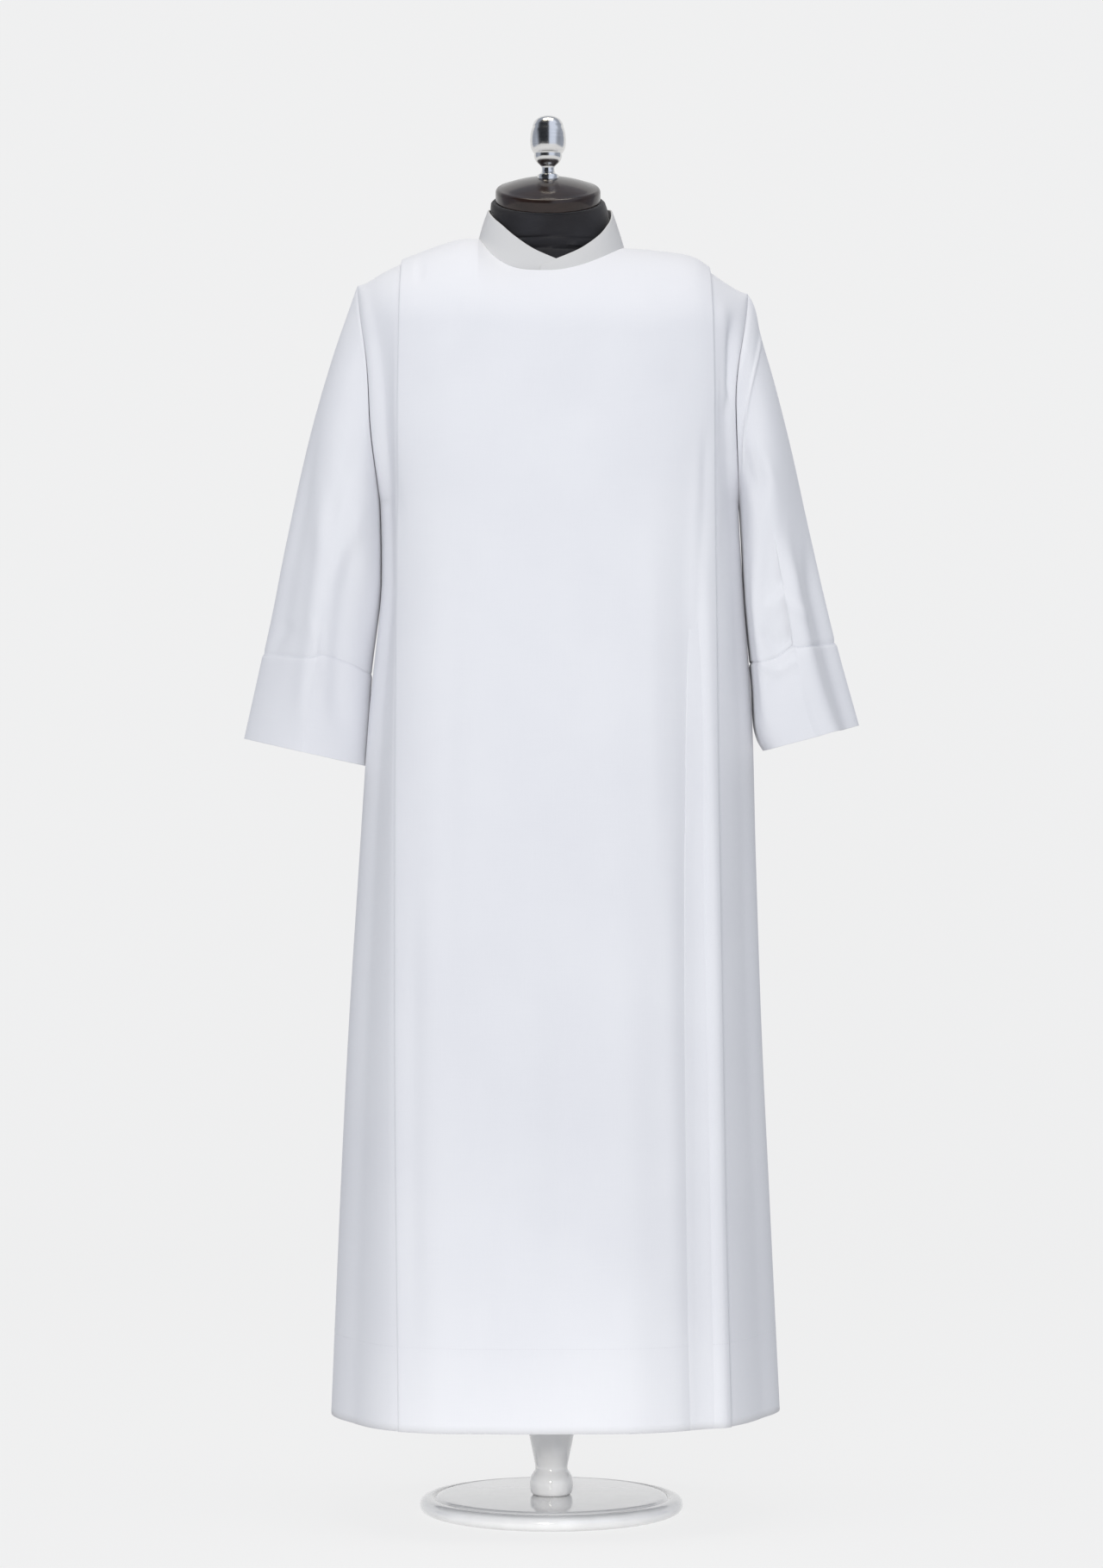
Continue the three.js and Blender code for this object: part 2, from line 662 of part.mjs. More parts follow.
// Both walls meet on a shared mitre over the shoulder, where they would otherwise cross inside.
function fitSleeve(hand, front, back) {
  const ring = armholeRing(hand, front, back);
  const sign = hand === "left" ? -1 : 1;
  ring.forEach((item, i) => {
    item.angle = Math.PI - (Math.PI * i) / upperRows;
    item.own = sleeveNormal(hand, 0.03, item.angle);
    const share = smooth(mitreFrom, mitreTo, item.edge.z);
    const shared = item.normal.clone().add(item.own).normalize();
    const tangent = ring[(i + 1) % ring.length].edge.clone().sub(ring.at(i - 1).edge).normalize();
    const away = tangent.cross(shared).multiplyScalar(sign).normalize();
    item.bodySide = item.normal.clone().lerp(shared, share).normalize();
    item.sleeveSide = item.own.clone().lerp(shared, share).normalize();
    item.shift = item.normal.clone().lerp(away, share).normalize().multiplyScalar(armholeGap);
    const through = item.bodySide.clone().multiplyScalar(clothThickness);
    item.grids.inner[item.row][item.column].copy(item.edge).sub(through);
  });
  // The panels' tip points are shared with the front panel's own seam.
  const tip = ring[upperRows];
  const frontTip = front.outer[tip.row][tip.column];
  front.inner[tip.row][tip.column].copy(frontTip).sub(tip.bodySide.clone().multiplyScalar(clothThickness));
  const pit = ring[0];
  const backPit = back.outer[pit.row][pit.column];
  back.inner[pit.row][pit.column].copy(backPit).sub(pit.bodySide.clone().multiplyScalar(clothThickness));
  return ring;
}

// Place of a row down the sleeve. The hem's rows lie higher on the shorter inner line.
function rowPlace(hand, along, angle) {
  const hem = sleeves[hand].hemStart;
  const raised = hem - (hemLean * (1 - Math.cos(angle))) / 2;
  return along < hem ? (along * raised) / hem : mix(raised, 1, (along - hem) / (1 - hem));
}

function sleeveGrids(hand, ring) {
  const hem = sleeves[hand].hemStart;
  const stations = [...sleeveStations, hem, hem + hemTurnStep, (hem + 1) / 2, 1];
  const outer = [];
  const inner = [];
  stations.forEach((along) => {
    const thickness = along > hem ? 2 * clothThickness : clothThickness;
    const points = ring.map((item) => {
      const place = rowPlace(hand, along, item.angle);
      const pull = Math.max(1 - place / sleeveSetIn, 0) ** 2;
      const start = item.edge.clone().add(item.shift);
      const offset = start.sub(sleevePoint(hand, 0, item.angle));
      const point = sleevePoint(hand, place, item.angle).addScaledVector(offset, pull);
      const direction = sleeveNormal(hand, place, item.angle).lerp(item.sleeveSide, along === 0 ? 1 : 0);
      return { point, within: point.clone().addScaledVector(direction.normalize(), -thickness) };
    });
    outer.push(points.map((item) => item.point));
    inner.push(points.map((item) => item.within));
  });
  return { outer, inner };
}

// ---- Collar ----

// Columns of the band from the under end, round the back, to the end that lies on top.
function collarColumns() {
  const step = 180 / neckSteps;
  const columns = [{ angle: -collarUnderEnd, hand: -1, under: 1 }];
  for (let turn = 0; turn <= 360 + 0.01; turn += step) {
    const hand = turn <= 180 ? -1 : 1;
    const angle = turn <= 180 ? turn : 360 - turn;
    columns.push({ angle, hand, under: hand < 0 ? 1 - smooth(0, 50, angle) : 0 });
  }
  columns.push({ angle: collarOverEnd, hand: 1, under: 0 });
  return columns;
}

function collarGrids() {
  const outer = [];
  const inner = [];
  const columns = collarColumns();
  for (let row = 0; row <= collarRows; row++) {
    const points = columns.map(({ angle, hand, under }) => {
      const turn = angle * radians;
      const side = Math.abs(angle) <= 90 ? -1 : 1;
      const across = hand * neckHalfWidth * Math.sin(turn);
      const base = neckHeight(across, side) + collarGap;
      const lapped = angle - hand * collarOpenTurn * (1 - smooth(40, 120, angle));
      const height = (read(collarTops, "angle", "height", lapped) - base) * (row / collarRows);
      const lean = mix(collarLean.front, collarLean.back, smooth(80, 180, angle));
      const inwards = height * lean + under * collarUnderlap;
      const direction = new THREE.Vector3(hand * Math.sin(turn), -Math.cos(turn), 0);
      const point = new THREE.Vector3(across, side * neckDepth(across, side), base + height);
      point.addScaledVector(direction, -inwards);
      return { point, within: point.clone().addScaledVector(direction, -collarThickness) };
    });
    outer.push(points.map((item) => item.point));
    inner.push(points.map((item) => item.within));
  }
  return { outer, inner };
}

// ---- Dress form ----

// Outline of the form in one direction: a neck joined to the ridge of the shoulders.
function formOutline(row, cosine, sine) {
  const half = cosine < 0 ? row.left : row.right;
  const depth = sine < 0 ? row.front : row.back;
  const shape = (value) => Math.abs(value) ** (2 / row.square);
  const wide = new THREE.Vector2(half * shape(cosine), depth * shape(sine));
  const direction = wide.clone().normalize();
  const neckDepth = row.neck * neckDepthShare;
  const neck = row.neck ? 1 / Math.hypot(direction.x / row.neck, direction.y / neckDepth) : 0;
  const reach = (wide.length() ** ridgeBlend + neck ** ridgeBlend) ** (1 / ridgeBlend);
  return [Math.sign(cosine) * direction.x * reach, Math.sign(sine) * direction.y * reach];
}

function formGeometry() {
  const rings = formSections.map((row) => {
    const tilt = Math.tan(neckTilt * radians) * smooth(neckTiltFrom, neckTopHeight - 4, row.height);
    const shift = neckShift * smooth(neckShiftFrom, neckTopHeight, row.height);
    const ring = [];
    for (let i = 0; i < formPoints; i++) {
      const turn = (2 * Math.PI * i) / formPoints;
      const [across, deep] = formOutline(row, Math.cos(turn), Math.sin(turn));
      ring.push(new THREE.Vector3(across + shift, deep, row.height + deep * tilt));
    }
    return ring;
  });
  return loftGeometry(rings);
}

function capGeometry() {
  const rim = capProfile.at(-1);
  const profile = [...capProfile];
  for (let i = 1; i < capDomeSteps; i++) {
    const share = i / capDomeSteps;
    const height = rim.height + capDomeRise * (1 - (1 - share) ** 2);
    profile.push({ radius: rim.radius * (1 - share), height });
  }
  profile.push({ radius: capPole, height: rim.height + capDomeRise });
  return turnedGeometry(profile, roundSteps);
}

// The finial's foot runs down to the cap's dome and is cut to it.
async function finialGeometry(cap) {
  const wasm = await Module();
  wasm.setup();
  const solid = (geometry) => {
    const plain = geometry.clone();
    plain.deleteAttribute("normal");
    plain.deleteAttribute("uv");
    const merged = mergeVertices(plain, 1e-4);
    const triVerts = new Uint32Array(merged.index.array);
    return new wasm.Manifold(
      new wasm.Mesh({ numProp: 3, vertProperties: merged.attributes.position.array, triVerts }),
    );
  };
  cap.updateMatrix();
  const seat = cap.geometry.clone().applyMatrix4(cap.matrix).translate(0, 0, contactGap);
  const profile = [{ radius: finialProfile[0].radius, height: -finialFoot }, ...finialProfile];
  const turned = turnedGeometry(profile, smallRoundSteps).translate(neckShift, 0, finialBase);
  const mesh = solid(turned).subtract(solid(seat)).getMesh();
  const points = [];
  for (let i = 0; i < mesh.vertProperties.length; i += mesh.numProp) {
    points.push(new THREE.Vector3(...mesh.vertProperties.subarray(i, i + 3)));
  }
  return bodyGeometry(points, [...mesh.triVerts]);
}

// ---- Assembly ----

const part = new THREE.Group();

function finish(color, roughness, metalness) {
  return new THREE.MeshStandardMaterial({ color, roughness, metalness });
}

function add(name, geometry, material) {
  const mesh = new THREE.Mesh(geometry, material);
  mesh.name = name;
  part.add(mesh);
  return mesh;
}

const front = panelGrids(-1);
const back = panelGrids(1);
const rings = { left: fitSleeve("left", front, back), right: fitSleeve("right", front, back) };

add("front", wallGeometry(front.outer, front.inner, false), finish("#e9e9ef", 0.8, 0));
add("back", wallGeometry(back.outer, back.inner, false), finish("#e7e7ee", 0.8, 0));
for (const hand of ["left", "right"]) {
  const grids = sleeveGrids(hand, rings[hand]);
  add(`sleeve_${hand}`, wallGeometry(grids.outer, grids.inner, true), finish("#e6e6ee", 0.8, 0));
}
const collar = collarGrids();
add("collar_band", wallGeometry(collar.outer, collar.inner, false), finish("#ececf1", 0.8, 0));

add("form_torso", formGeometry(), finish("#2c2b2e", 0.9, 0));
const cap = add("neck_cap", capGeometry(), finish("#2a1c19", 0.25, 0));
cap.position.set(neckShift, 0, neckTopHeight + contactGap);
cap.rotation.x = neckTilt * radians;
add("finial", await finialGeometry(cap), finish("#c9c7c4", 0.15, 1));
add("base_plate", turnedGeometry(baseProfile, roundSteps + 8), finish("#cfcfcf", 0.45, 0));
const post = add("turned_post", turnedGeometry(postProfile, roundSteps), finish("#c8c8c8", 0.45, 0));
post.position.z = baseTop + contactGap;
const poleStart = baseTop + contactGap + postProfile.at(-1).height + contactGap;
const poleProfile = [
  { radius: poleRadius, height: poleStart },
  { radius: poleRadius, height: formBottom - contactGap },
];
add("pole", turnedGeometry(poleProfile, smallRoundSteps), finish("#bdbdbd", 0.35, 0.6));

export default part;
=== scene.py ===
import math
import bmesh
import bpy
import numpy as np
from mathutils import Matrix, Vector


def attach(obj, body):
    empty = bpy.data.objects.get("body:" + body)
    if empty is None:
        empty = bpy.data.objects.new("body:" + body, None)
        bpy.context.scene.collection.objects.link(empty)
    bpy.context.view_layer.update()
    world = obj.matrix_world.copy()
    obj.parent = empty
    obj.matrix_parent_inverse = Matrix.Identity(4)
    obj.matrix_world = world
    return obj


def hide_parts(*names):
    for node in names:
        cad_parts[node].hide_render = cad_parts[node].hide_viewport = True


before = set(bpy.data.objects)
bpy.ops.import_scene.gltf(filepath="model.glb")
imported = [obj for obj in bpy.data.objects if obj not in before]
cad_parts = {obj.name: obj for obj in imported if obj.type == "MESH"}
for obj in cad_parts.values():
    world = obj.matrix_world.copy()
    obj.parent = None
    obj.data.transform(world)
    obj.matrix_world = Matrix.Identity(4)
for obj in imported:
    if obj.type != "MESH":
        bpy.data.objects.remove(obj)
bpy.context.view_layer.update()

mm = 0.001


view = {"distance": 5.4, "height": 0.883, "lens": 102.03}

cameraData = bpy.data.cameras.new("camera")
cameraData.lens = view["lens"]
cameraData.sensor_width = 36
camera = bpy.data.objects.new("camera", cameraData)
camera.location = (0, -view["distance"], view["height"])
camera.rotation_euler = (math.radians(90), 0, 0)
bpy.context.collection.objects.link(camera)
bpy.context.scene.camera = camera


def ease(low, high, value):
    t = np.clip((value - low) / (high - low), 0, 1)
    return t * t * (3 - 2 * t)


def mix(a, b, share):
    return a + (b - a) * share


# smooth curve through a table's rows, without overshoot
def readTable(table, column, at):
    place = np.array(next(iter(table.values())), float) * mm
    value = np.array(table[column], float)
    at = np.clip(np.asarray(at, float), place[0], place[-1])
    high = np.clip(np.searchsorted(place, at), 1, len(place) - 1)
    low = high - 1

    def slope(a, b):
        return (value[b] - value[a]) / (place[b] - place[a])

    middle = slope(low, high)
    most = 3 * np.abs(middle)

    def steady(side):
        return np.where(side * middle <= 0, 0, np.clip(side, -most, most))

    start = steady(slope(np.maximum(high - 2, 0), high))
    end = steady(slope(low, np.minimum(high + 1, len(place) - 1)))
    span = place[high] - place[low]
    t = (at - place[low]) / span
    rise = 3 * t ** 2 - 2 * t ** 3
    level = value[low] * (1 - rise) + value[high] * rise
    return level + start * span * (t ** 3 - 2 * t ** 2 + t) + end * span * (t ** 3 - t ** 2)


def linkPiece(name, mesh, replaced=()):
    piece = bpy.data.objects.new(name, mesh)
    bpy.context.collection.objects.link(piece)
    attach(piece, "root")
    if replaced:
        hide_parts(*replaced)
    return piece


def smoothFaces(bm):
    for face in bm.faces:
        face.smooth = True


def meshOf(bm, name):
    mesh = bpy.data.meshes.new(name)
    bm.to_mesh(mesh)
    bm.free()
    return mesh


# grid of points, rows first, laid over a bmesh grid; the cloth's own lengths go to its UV map
def clothMesh(name, points, closed=False):
    rows, columns = points.shape[:2]
    bm = bmesh.new()
    bmesh.ops.create_grid(bm, x_segments=columns - 1, y_segments=rows - 1, size=0.5)
    order = sorted(bm.verts, key=lambda v: (round((v.co.y + 0.5) * (rows - 1)), round((v.co.x + 0.5) * (columns - 1))))
    across = np.linalg.norm(np.diff(points, axis=1), axis=2)
    along = np.linalg.norm(np.diff(points, axis=0), axis=2)
    middle = columns // 2
    u = np.concatenate([np.zeros((rows, 1)), np.cumsum(across, axis=1)], axis=1)
    u -= u[:, middle:middle + 1]
    v = np.concatenate([[0], np.cumsum(along.mean(axis=1))])
    layer = bm.loops.layers.uv.new("cloth")
    for row in range(rows):
        for column in range(columns):
            vert = order[row * columns + column]
            vert.co = points[row, column]
            for loop in vert.link_loops:
                loop[layer].uv = (u[row, column], v[row])
    if closed:
        bmesh.ops.remove_doubles(bm, verts=bm.verts, dist=1e-6)
    bmesh.ops.recalc_face_normals(bm, faces=bm.faces)
    smoothFaces(bm)
    return meshOf(bm, name)


# turns a sheet's faces outwards
def faceOut(mesh, outward):
    if sum(poly.normal.dot(outward(poly.center)) * poly.area for poly in mesh.polygons) < 0:
        mesh.flip_normals()


# wall of the cloth, laid inwards from the outer face
def thicken(piece, thickness):
    solid = piece.modifiers.new("thickness", "SOLIDIFY")
    solid.thickness = thickness
    solid.offset = -1
    solid.use_even_offset = False
    solid.use_rim = True


bodyShape = {
    "height": [100, 370, 580, 790, 970, 1125, 1225, 1330, 1430, 1500, 1570],
    "left": [267, 256, 246, 233, 221, 206, 208, 228, 234, 236, 238],
    "right": [278, 265, 255, 248, 243, 232, 227, 231, 237, 239, 241],
    "front": [232, 213, 197, 181, 164, 147, 137, 128, 119, 112, 108],
    "back": [224, 207, 191, 174, 157, 140, 129, 118, 108, 102, 98],
    "squareLeft": [3.2, 3.1, 3.0, 2.9, 2.8, 2.8, 2.9, 3.0, 3.0, 2.9, 2.8],
    "squareRight": [2.4, 2.4, 2.5, 2.5, 2.6, 2.7, 2.8, 3.0, 3.0, 2.9, 2.8],
}
shoulders = {
    -1: {"across": [80, 105, 129, 162, 190, 207, 236], "height": [1545, 1545, 1539, 1527, 1516, 1508, 1488]},
    1: {"across": [80, 130, 171, 194, 207, 239], "height": [1534, 1530, 1523, 1509, 1500, 1478]},
}
neckline = {"halfWidth": 0.088, "frontDepth": 0.082, "backDepth": 0.079, "frontHeight": 1.498,
            "backHeight": 1.552, "curveLeft": 3.4, "curveRight": 1.7, "dipFrom": 0.014, "dipTo": 0.09}
armhole = {"pit": 1.225, "front": 0.064, "back": 0.062, "fullness": 0.6}
pleats = {
    -1: {"height": [126, 600, 1000, 1330, 1530], "edge": [178, 184, 185, 183, 180],
         "depth": [50, 42, 33, 24, 16]},
    1: {"height": [126, 370, 890, 1330, 1530], "edge": [210, 204, 196, 194, 190],
        "depth": [50, 45, 34, 24, 16]},
}
hemHeight = 0.126


def seamHeight(across):
    far = np.abs(across)
    left = readTable(shoulders[-1], "height", far)
    right = readTable(shoulders[1], "height", far)
    return np.where(across < 0, left, right) * mm


def neckHeight(across, side):
    share = np.minimum(np.abs(across) / neckline["halfWidth"], 1)
    edge = seamHeight(np.where(across < 0, -1, 1) * neckline["halfWidth"])
    if side < 0:
        curve = np.where(across < 0, neckline["curveLeft"], neckline["curveRight"])
        return mix(neckline["frontHeight"], edge, share ** curve)
    return mix(edge, neckline["backHeight"], np.sqrt(1 - share ** 2))


def neckDepth(across, side):
    share = np.minimum(np.abs(across) / neckline["halfWidth"], 1)
    return neckline["frontDepth" if side < 0 else "backDepth"] * np.sqrt(1 - share ** 2)


def shoulderRound(across):
    return mix(0.112, 0.074, ease(neckline["halfWidth"], 0.236, np.abs(across)))


def sectionAt(height, across, side):
    def column(name):
        return readTable(bodyShape, name, height)
    left = across < 0
    half = np.where(left, column("left"), column("right")) * mm
    depth = column("front" if side < 0 else "back") * mm
    return half, depth, np.where(left, column("squareLeft"), column("squareRight"))


def ridgeHeight(across, side, height):
    edge = neckline["halfWidth"]
    near = np.clip(across, -edge, edge)
    top = neckHeight(near, side)
    half, depth, square = sectionAt(top, near, side)
    full = depth * (1 - (np.abs(near) / half) ** square) ** (1 / square)
    share = np.minimum(neckDepth(near, side) / full, 1)
    dipped = top + shoulderRound(near) * (1 - np.sqrt(1 - share ** 2))
    ends = seamHeight(np.array([-edge, edge]))
    level = mix(ends[0], ends[1], 0.5 + 0.5 * near / edge)
    inside = mix(dipped, np.maximum(dipped, level), ease(neckline["dipFrom"], neckline["dipTo"], dipped - height))
    return np.where(np.abs(across) >= edge, seamHeight(across), inside)


# angle 0 is the right side seam and pi the left one
def bodyPoint(angle, height, side):
    cosine, sine = np.cos(angle), np.abs(np.sin(angle))
    half, depth, square = sectionAt(height, cosine, side)
    across = np.sign(cosine) * half * np.abs(cosine) ** (2 / square)
    drop = ridgeHeight(across, side, height) - height
    below = np.clip(drop / shoulderRound(across), 0, 1)
    deep = depth * sine ** (2 / square) * np.sqrt(1 - (1 - below) ** 2)
    return np.stack([across, side * deep, height + 0 * across], axis=-1)


def unit(vectors):
    return vectors / np.maximum(np.linalg.norm(vectors, axis=-1, keepdims=True), 1e-9)


def bodyNormal(angle, height, side):
    turn = np.clip(angle, 0.03, math.pi - 0.03)
    along = bodyPoint(turn + 0.02, height, side) - bodyPoint(turn - 0.02, height, side)
    up = bodyPoint(turn, height + 0.001, side) - bodyPoint(turn, height - 0.003, side)
    return unit(np.cross(along, up)) * side


def angleOf(across, height, side):
    half, _, square = sectionAt(height, across, side)
    return np.arccos(np.sign(across) * np.minimum(np.abs(across) / half, 1) ** (square / 2))


def edgeAngle(height, hand, side):
    tip = shoulders[hand]["height"][-1] * mm
    share = np.clip((height - armhole["pit"]) / (tip - armhole["pit"]), 0, 1)
    reach = armhole["front" if side < 0 else "back"] * np.sin(math.pi * share) ** armhole["fullness"]
    _, depth, square = sectionAt(height, np.asarray(float(hand)), side)
    angle = np.arcsin((reach / depth) ** (square / 2))
    return math.pi - angle if hand < 0 else angle


# a crease runs from one point to another; out is how far it stands off, negative for a trough
def crease(start, end, width, out, **more):
    return {"start": start, "end": end, "width": width, "out": out, **more}


def creaseOut(creases, x, z):
    total = np.zeros_like(x)
    for row in creases:
        start, end = np.array(row["start"]) * mm, np.array(row["end"]) * mm
        run = end - start
        length = np.linalg.norm(run)
        dx, dz = x - start[0], z - start[1]
        along = (dx * run[0] + dz * run[1]) / length ** 2
        bow = row.get("bow", 0) * mm * np.sin(math.pi * np.clip(along, 0, 1))
        off = (dx * run[1] - dz * run[0]) / length - bow
        width = row["width"] * mm
        wide = np.where(off > 0, width * row.get("lean", 1), width)
        soft = row.get("soft", 0.3)
        fade = ease(0, soft, along) * (1 - ease(1 - soft, 1, along))
        if row.get("open"):
            fade = 1 - ease(1 - soft, 1, along)
        total += row["out"] * mm * fade * np.exp(-(off / wide) ** 2)
    return total


# long soft folds of the panels, near those on the solids
def fold(bottom, top, width, out, to):
    return {"bottom": bottom, "top": top, "width": width, "out": out, "to": to}


softFolds = {
    -1: [
        fold(180, 166, 19, -5, 1330),
        fold(195, 182, 15, 4, 1300),
        fold(96, 84, 26, 4, 900),
        fold(-132, -140, 22, 3, 1000),
        fold(20, 6, 34, -4, 760),
        fold(-78, -70, 24, -3, 820),
    ],
    1: [
        fold(-160, -150, 20, -8, 1300),
        fold(150, 148, 22, -7, 1220),
        fold(-62, -44, 30, 5, 940),
        fold(8, 10, 26, -6, 1040),
        fold(78, 62, 28, 5, 860),
    ],
}


def foldOut(x, z, side):
    total = np.zeros_like(x)
    for row in softFolds[side]:
        top = row["to"] * mm
        centre = mix(row["bottom"], row["top"], (z - hemHeight) / (top - hemHeight)) * mm
        fade = 1 - ease(mix(hemHeight, top, 0.45), top, z)
        total += row["out"] * mm * fade * np.exp(-((x - centre) / (row["width"] * mm)) ** 2)
    return total


bodyCreases = {
    -1: [
        # under the collar and over the chest
        crease((-70, 1490), (-150, 1330), 20, 1.6, bow=8),
        crease((76, 1488), (140, 1350), 18, 1.4, bow=-8),
        crease((-96, 1500), (-128, 1400), 9, -1.2),
        crease((60, 1470), (30, 1290), 24, -1.4),
        crease((-30, 1450), (-44, 1180), 26, 1.3),
        # long uneven drapes of the skirt
        crease((-110, 1240), (-118, 420), 15, -1.5, bow=6),
        crease((-28, 1120), (-36, 300), 20, 1.7, bow=-7),
        crease((48, 1180), (62, 520), 17, -1.5, bow=5),
        crease((118, 1260), (124, 640), 13, 1.6),
        crease((140, 900), (150, 200), 12, 1.4, bow=4),
        crease((8, 720), (2, 180), 14, -1.4, bow=-6),
        crease((-60, 640), (-52, 150), 17, 1.5),
        crease((-160, 820), (-158, 160), 10, -1.6, bow=3),
        # valley beside the right ridge, strip outside the right pleat, dent at its armhole, puckers at the left
        crease((193, 110), (170, 1330), 30, -9, lean=0.2, open=True, soft=0.4),
        crease((194, 110), (180, 1330), 12, 3.2, open=True, soft=0.25),
        crease((208, 1474), (210, 1326), 8, 12, soft=0.2),
        crease((219, 1456), (216, 1320), 6, -13, soft=0.35),
        crease((-160, 1530), (-157, 1474), 5, -1.8, soft=0.35),
        crease((-205, 1512), (-201, 1466), 5, -1.6, soft=0.35),
        # open end of the stitched right pleat
        crease((186, 1322), (180, 1120), 6, -2.2, bow=2),
        crease((176, 1300), (168, 1040), 7, 1.8),
        # armhole drags
        crease((-196, 1330), (-178, 1180), 7, -1.6, bow=3),
        crease((-206, 1290), (-192, 1120), 6, 1.4),
        crease((218, 1300), (206, 1130), 7, -1.8, bow=-3),
        crease((226, 1220), (214, 980), 8, 1.5),
    ],
    1: [
        crease((-74, 1500), (-140, 1340), 19, 1.6, bow=7),
        crease((70, 1502), (132, 1330), 21, 1.5, bow=-9),
        crease((-14, 1460), (-6, 1240), 24, -1.6),
        crease((-100, 1260), (-110, 480), 17, -1.6, bow=-6),
        crease((-38, 1150), (-26, 260), 18, 1.6, bow=7),
        crease((44, 1210), (52, 560), 16, -1.7, bow=5),
        crease((112, 1240), (120, 700), 13, 1.5),
        crease((136, 880), (144, 190), 12, 1.5, bow=4),
        crease((14, 760), (20, 170), 15, -1.5, bow=-5),
        crease((-150, 800), (-158, 170), 11, -1.5),
        crease((-202, 1310), (-186, 1150), 7, -1.6, bow=3),
        crease((214, 1310), (200, 1140), 7, -1.7, bow=-3),
    ],
}


# slight unevenness that all hanging cloth has
def uneven(x, z, seed):
    waves = (
        np.sin(x * 41 + 3.1 * z + seed) * np.sin(z * 5.3 + 1.7 * seed)
        + 0.6 * np.sin(x * 73 - 4.7 * z + 2.3 * seed) * np.sin(z * 9.1 + seed)
        + 0.35 * np.sin(x * 118 + 8.3 * z - seed) * np.sin(z * 15.7 - 2 * seed)
    )
    return waves * 0.35 * mm


panel = {
    "thickness": 1.0 * mm,
    "skirtRows": 112,
    "upperRows": 96,
    "sideColumns": 20,
    "centreColumns": 15,
    "neckColumns": 46,
    "layer": 2.5 * mm,
    "tuck": 1.4 * mm,
}


sideDrop = {
    -1: {"height": [126, 600, 1000, 1330, 1500], "depth": [13, 12, 10, 8, 1]},
    1: {"height": [126, 600, 1000, 1330, 1500], "depth": [9, 8, 6, 4, 0]},
}


def foldPlace(hand, height, share):
    edge = readTable(pleats[hand], "edge", height)
    depth = readTable(pleats[hand], "depth", height)
    return (edge - share * depth) * mm


# lines that run the length of a panel: the angle at a height, and how deep the face lies there
def panelLines(hand, side):
    lines = []
    layer = panel["layer"]

    def atFold(height, share, shift=0):
        return angleOf(hand * (foldPlace(hand, height, share) + shift), height, side)

    def sideLine(share, deep):
        bend = math.sin(math.pi * share ** 0.8) * float(ease(0.06, 0.5, share))
        return {"angle": lambda h: mix(edgeAngle(h, hand, side), atFold(h, 0, 7 * mm), share), "deep": deep,
                "edge": share == 0, "free": float(ease(0.02, 0.3, share)), "flat": (hand, bend)}

    lines.append(sideLine(0, panel["tuck"]))
    lines.append(sideLine(0.004, 0.35 * mm))
    for i in range(1, panel["sideColumns"] + 1):
        share = i / panel["sideColumns"]
        lines.append(sideLine(share ** 1.15, 2 * layer * float(ease(0, 0.9, share))))
    for share in (0, 0.4, 0.75, 0.97):
        lines.append({"angle": lambda h, s=share: atFold(h, s), "deep": 2 * layer})
    lines.append({"angle": lambda h: atFold(h, 1, -0.4 * mm), "deep": 1.5 * layer})
    for share in (0.97, 0.75, 0.4, 0.12):
        lines.append({"angle": lambda h, s=share: atFold(h, s), "deep": layer})
    for shift, deep in ((1.0, 0.82), (1.9, 0.5), (1.4, 0.16)):
        lines.append({"angle": lambda h, s=shift: atFold(h, 0, s * mm), "deep": deep * layer})
    for share in (0, 0.08, 0.16, 0.26, 0.36, 0.46, 0.56, 0.66, 0.76, 0.88, 1):
        lines.append({"angle": lambda h, s=share: atFold(h, s), "deep": 0})
    return lines


# lines between the pleats spread with the panel as it widens towards the hem
def centreLines(side):
    edge = neckline["halfWidth"]
    places = []
    for hand in (-1, 1):
        inner = (pleats[hand]["edge"][-1] - pleats[hand]["depth"][-1]) * mm
        shares = [i / panel["centreColumns"] for i in range(1, panel["centreColumns"])]
        run = [(hand * mix(inner, edge, s), None) for s in shares]
        places += run if hand < 0 else run[::-1]
        if hand < 0:
            turns = np.linspace(-1, 1, panel["neckColumns"] + 1)
            places += [(edge * float(np.sin(t * math.pi / 2)), float(t)) for t in turns]

    def angleAt(across, turn):
        hand = -1 if across < 0 else 1
        inner = (pleats[hand]["edge"][-1] - pleats[hand]["depth"][-1]) * mm
        share = float(ease(edge, inner, abs(across)))

        def angle(height):
            even = across if turn is None else mix(edge * turn, across, ease(0.35, 0.02, 1.5 - height))
            return angleOf(even + hand * share * (foldPlace(hand, height, 1) - inner), height, side)
        return angle

    return [{"angle": angleAt(across, turn), "deep": 0, "neck": across if turn is not None else None,
             "turn": turn} for across, turn in places]


def lineTop(line, side):
    if line.get("turn") is not None:
        return float(neckHeight(np.asarray(line["neck"]), side))
    top = 1.495
    for _ in range(12):
        across = bodyPoint(line["angle"](np.asarray(top)), np.asarray(top), side)[0]
        top = float(seamHeight(across)) if abs(across) >= neckline["halfWidth"] else float(
            ridgeHeight(across, side, -1.0))
    return top


def rowHeights(top):
    skirt = np.linspace(hemHeight, armhole["pit"], panel["skirtRows"] + 1)[:-1]
    share = np.linspace(0, 1, panel["upperRows"] + 1)
    upper = mix(armhole["pit"], top, 0.5 - 0.5 * np.cos(math.pi * share))
    return np.concatenate([skirt, upper])


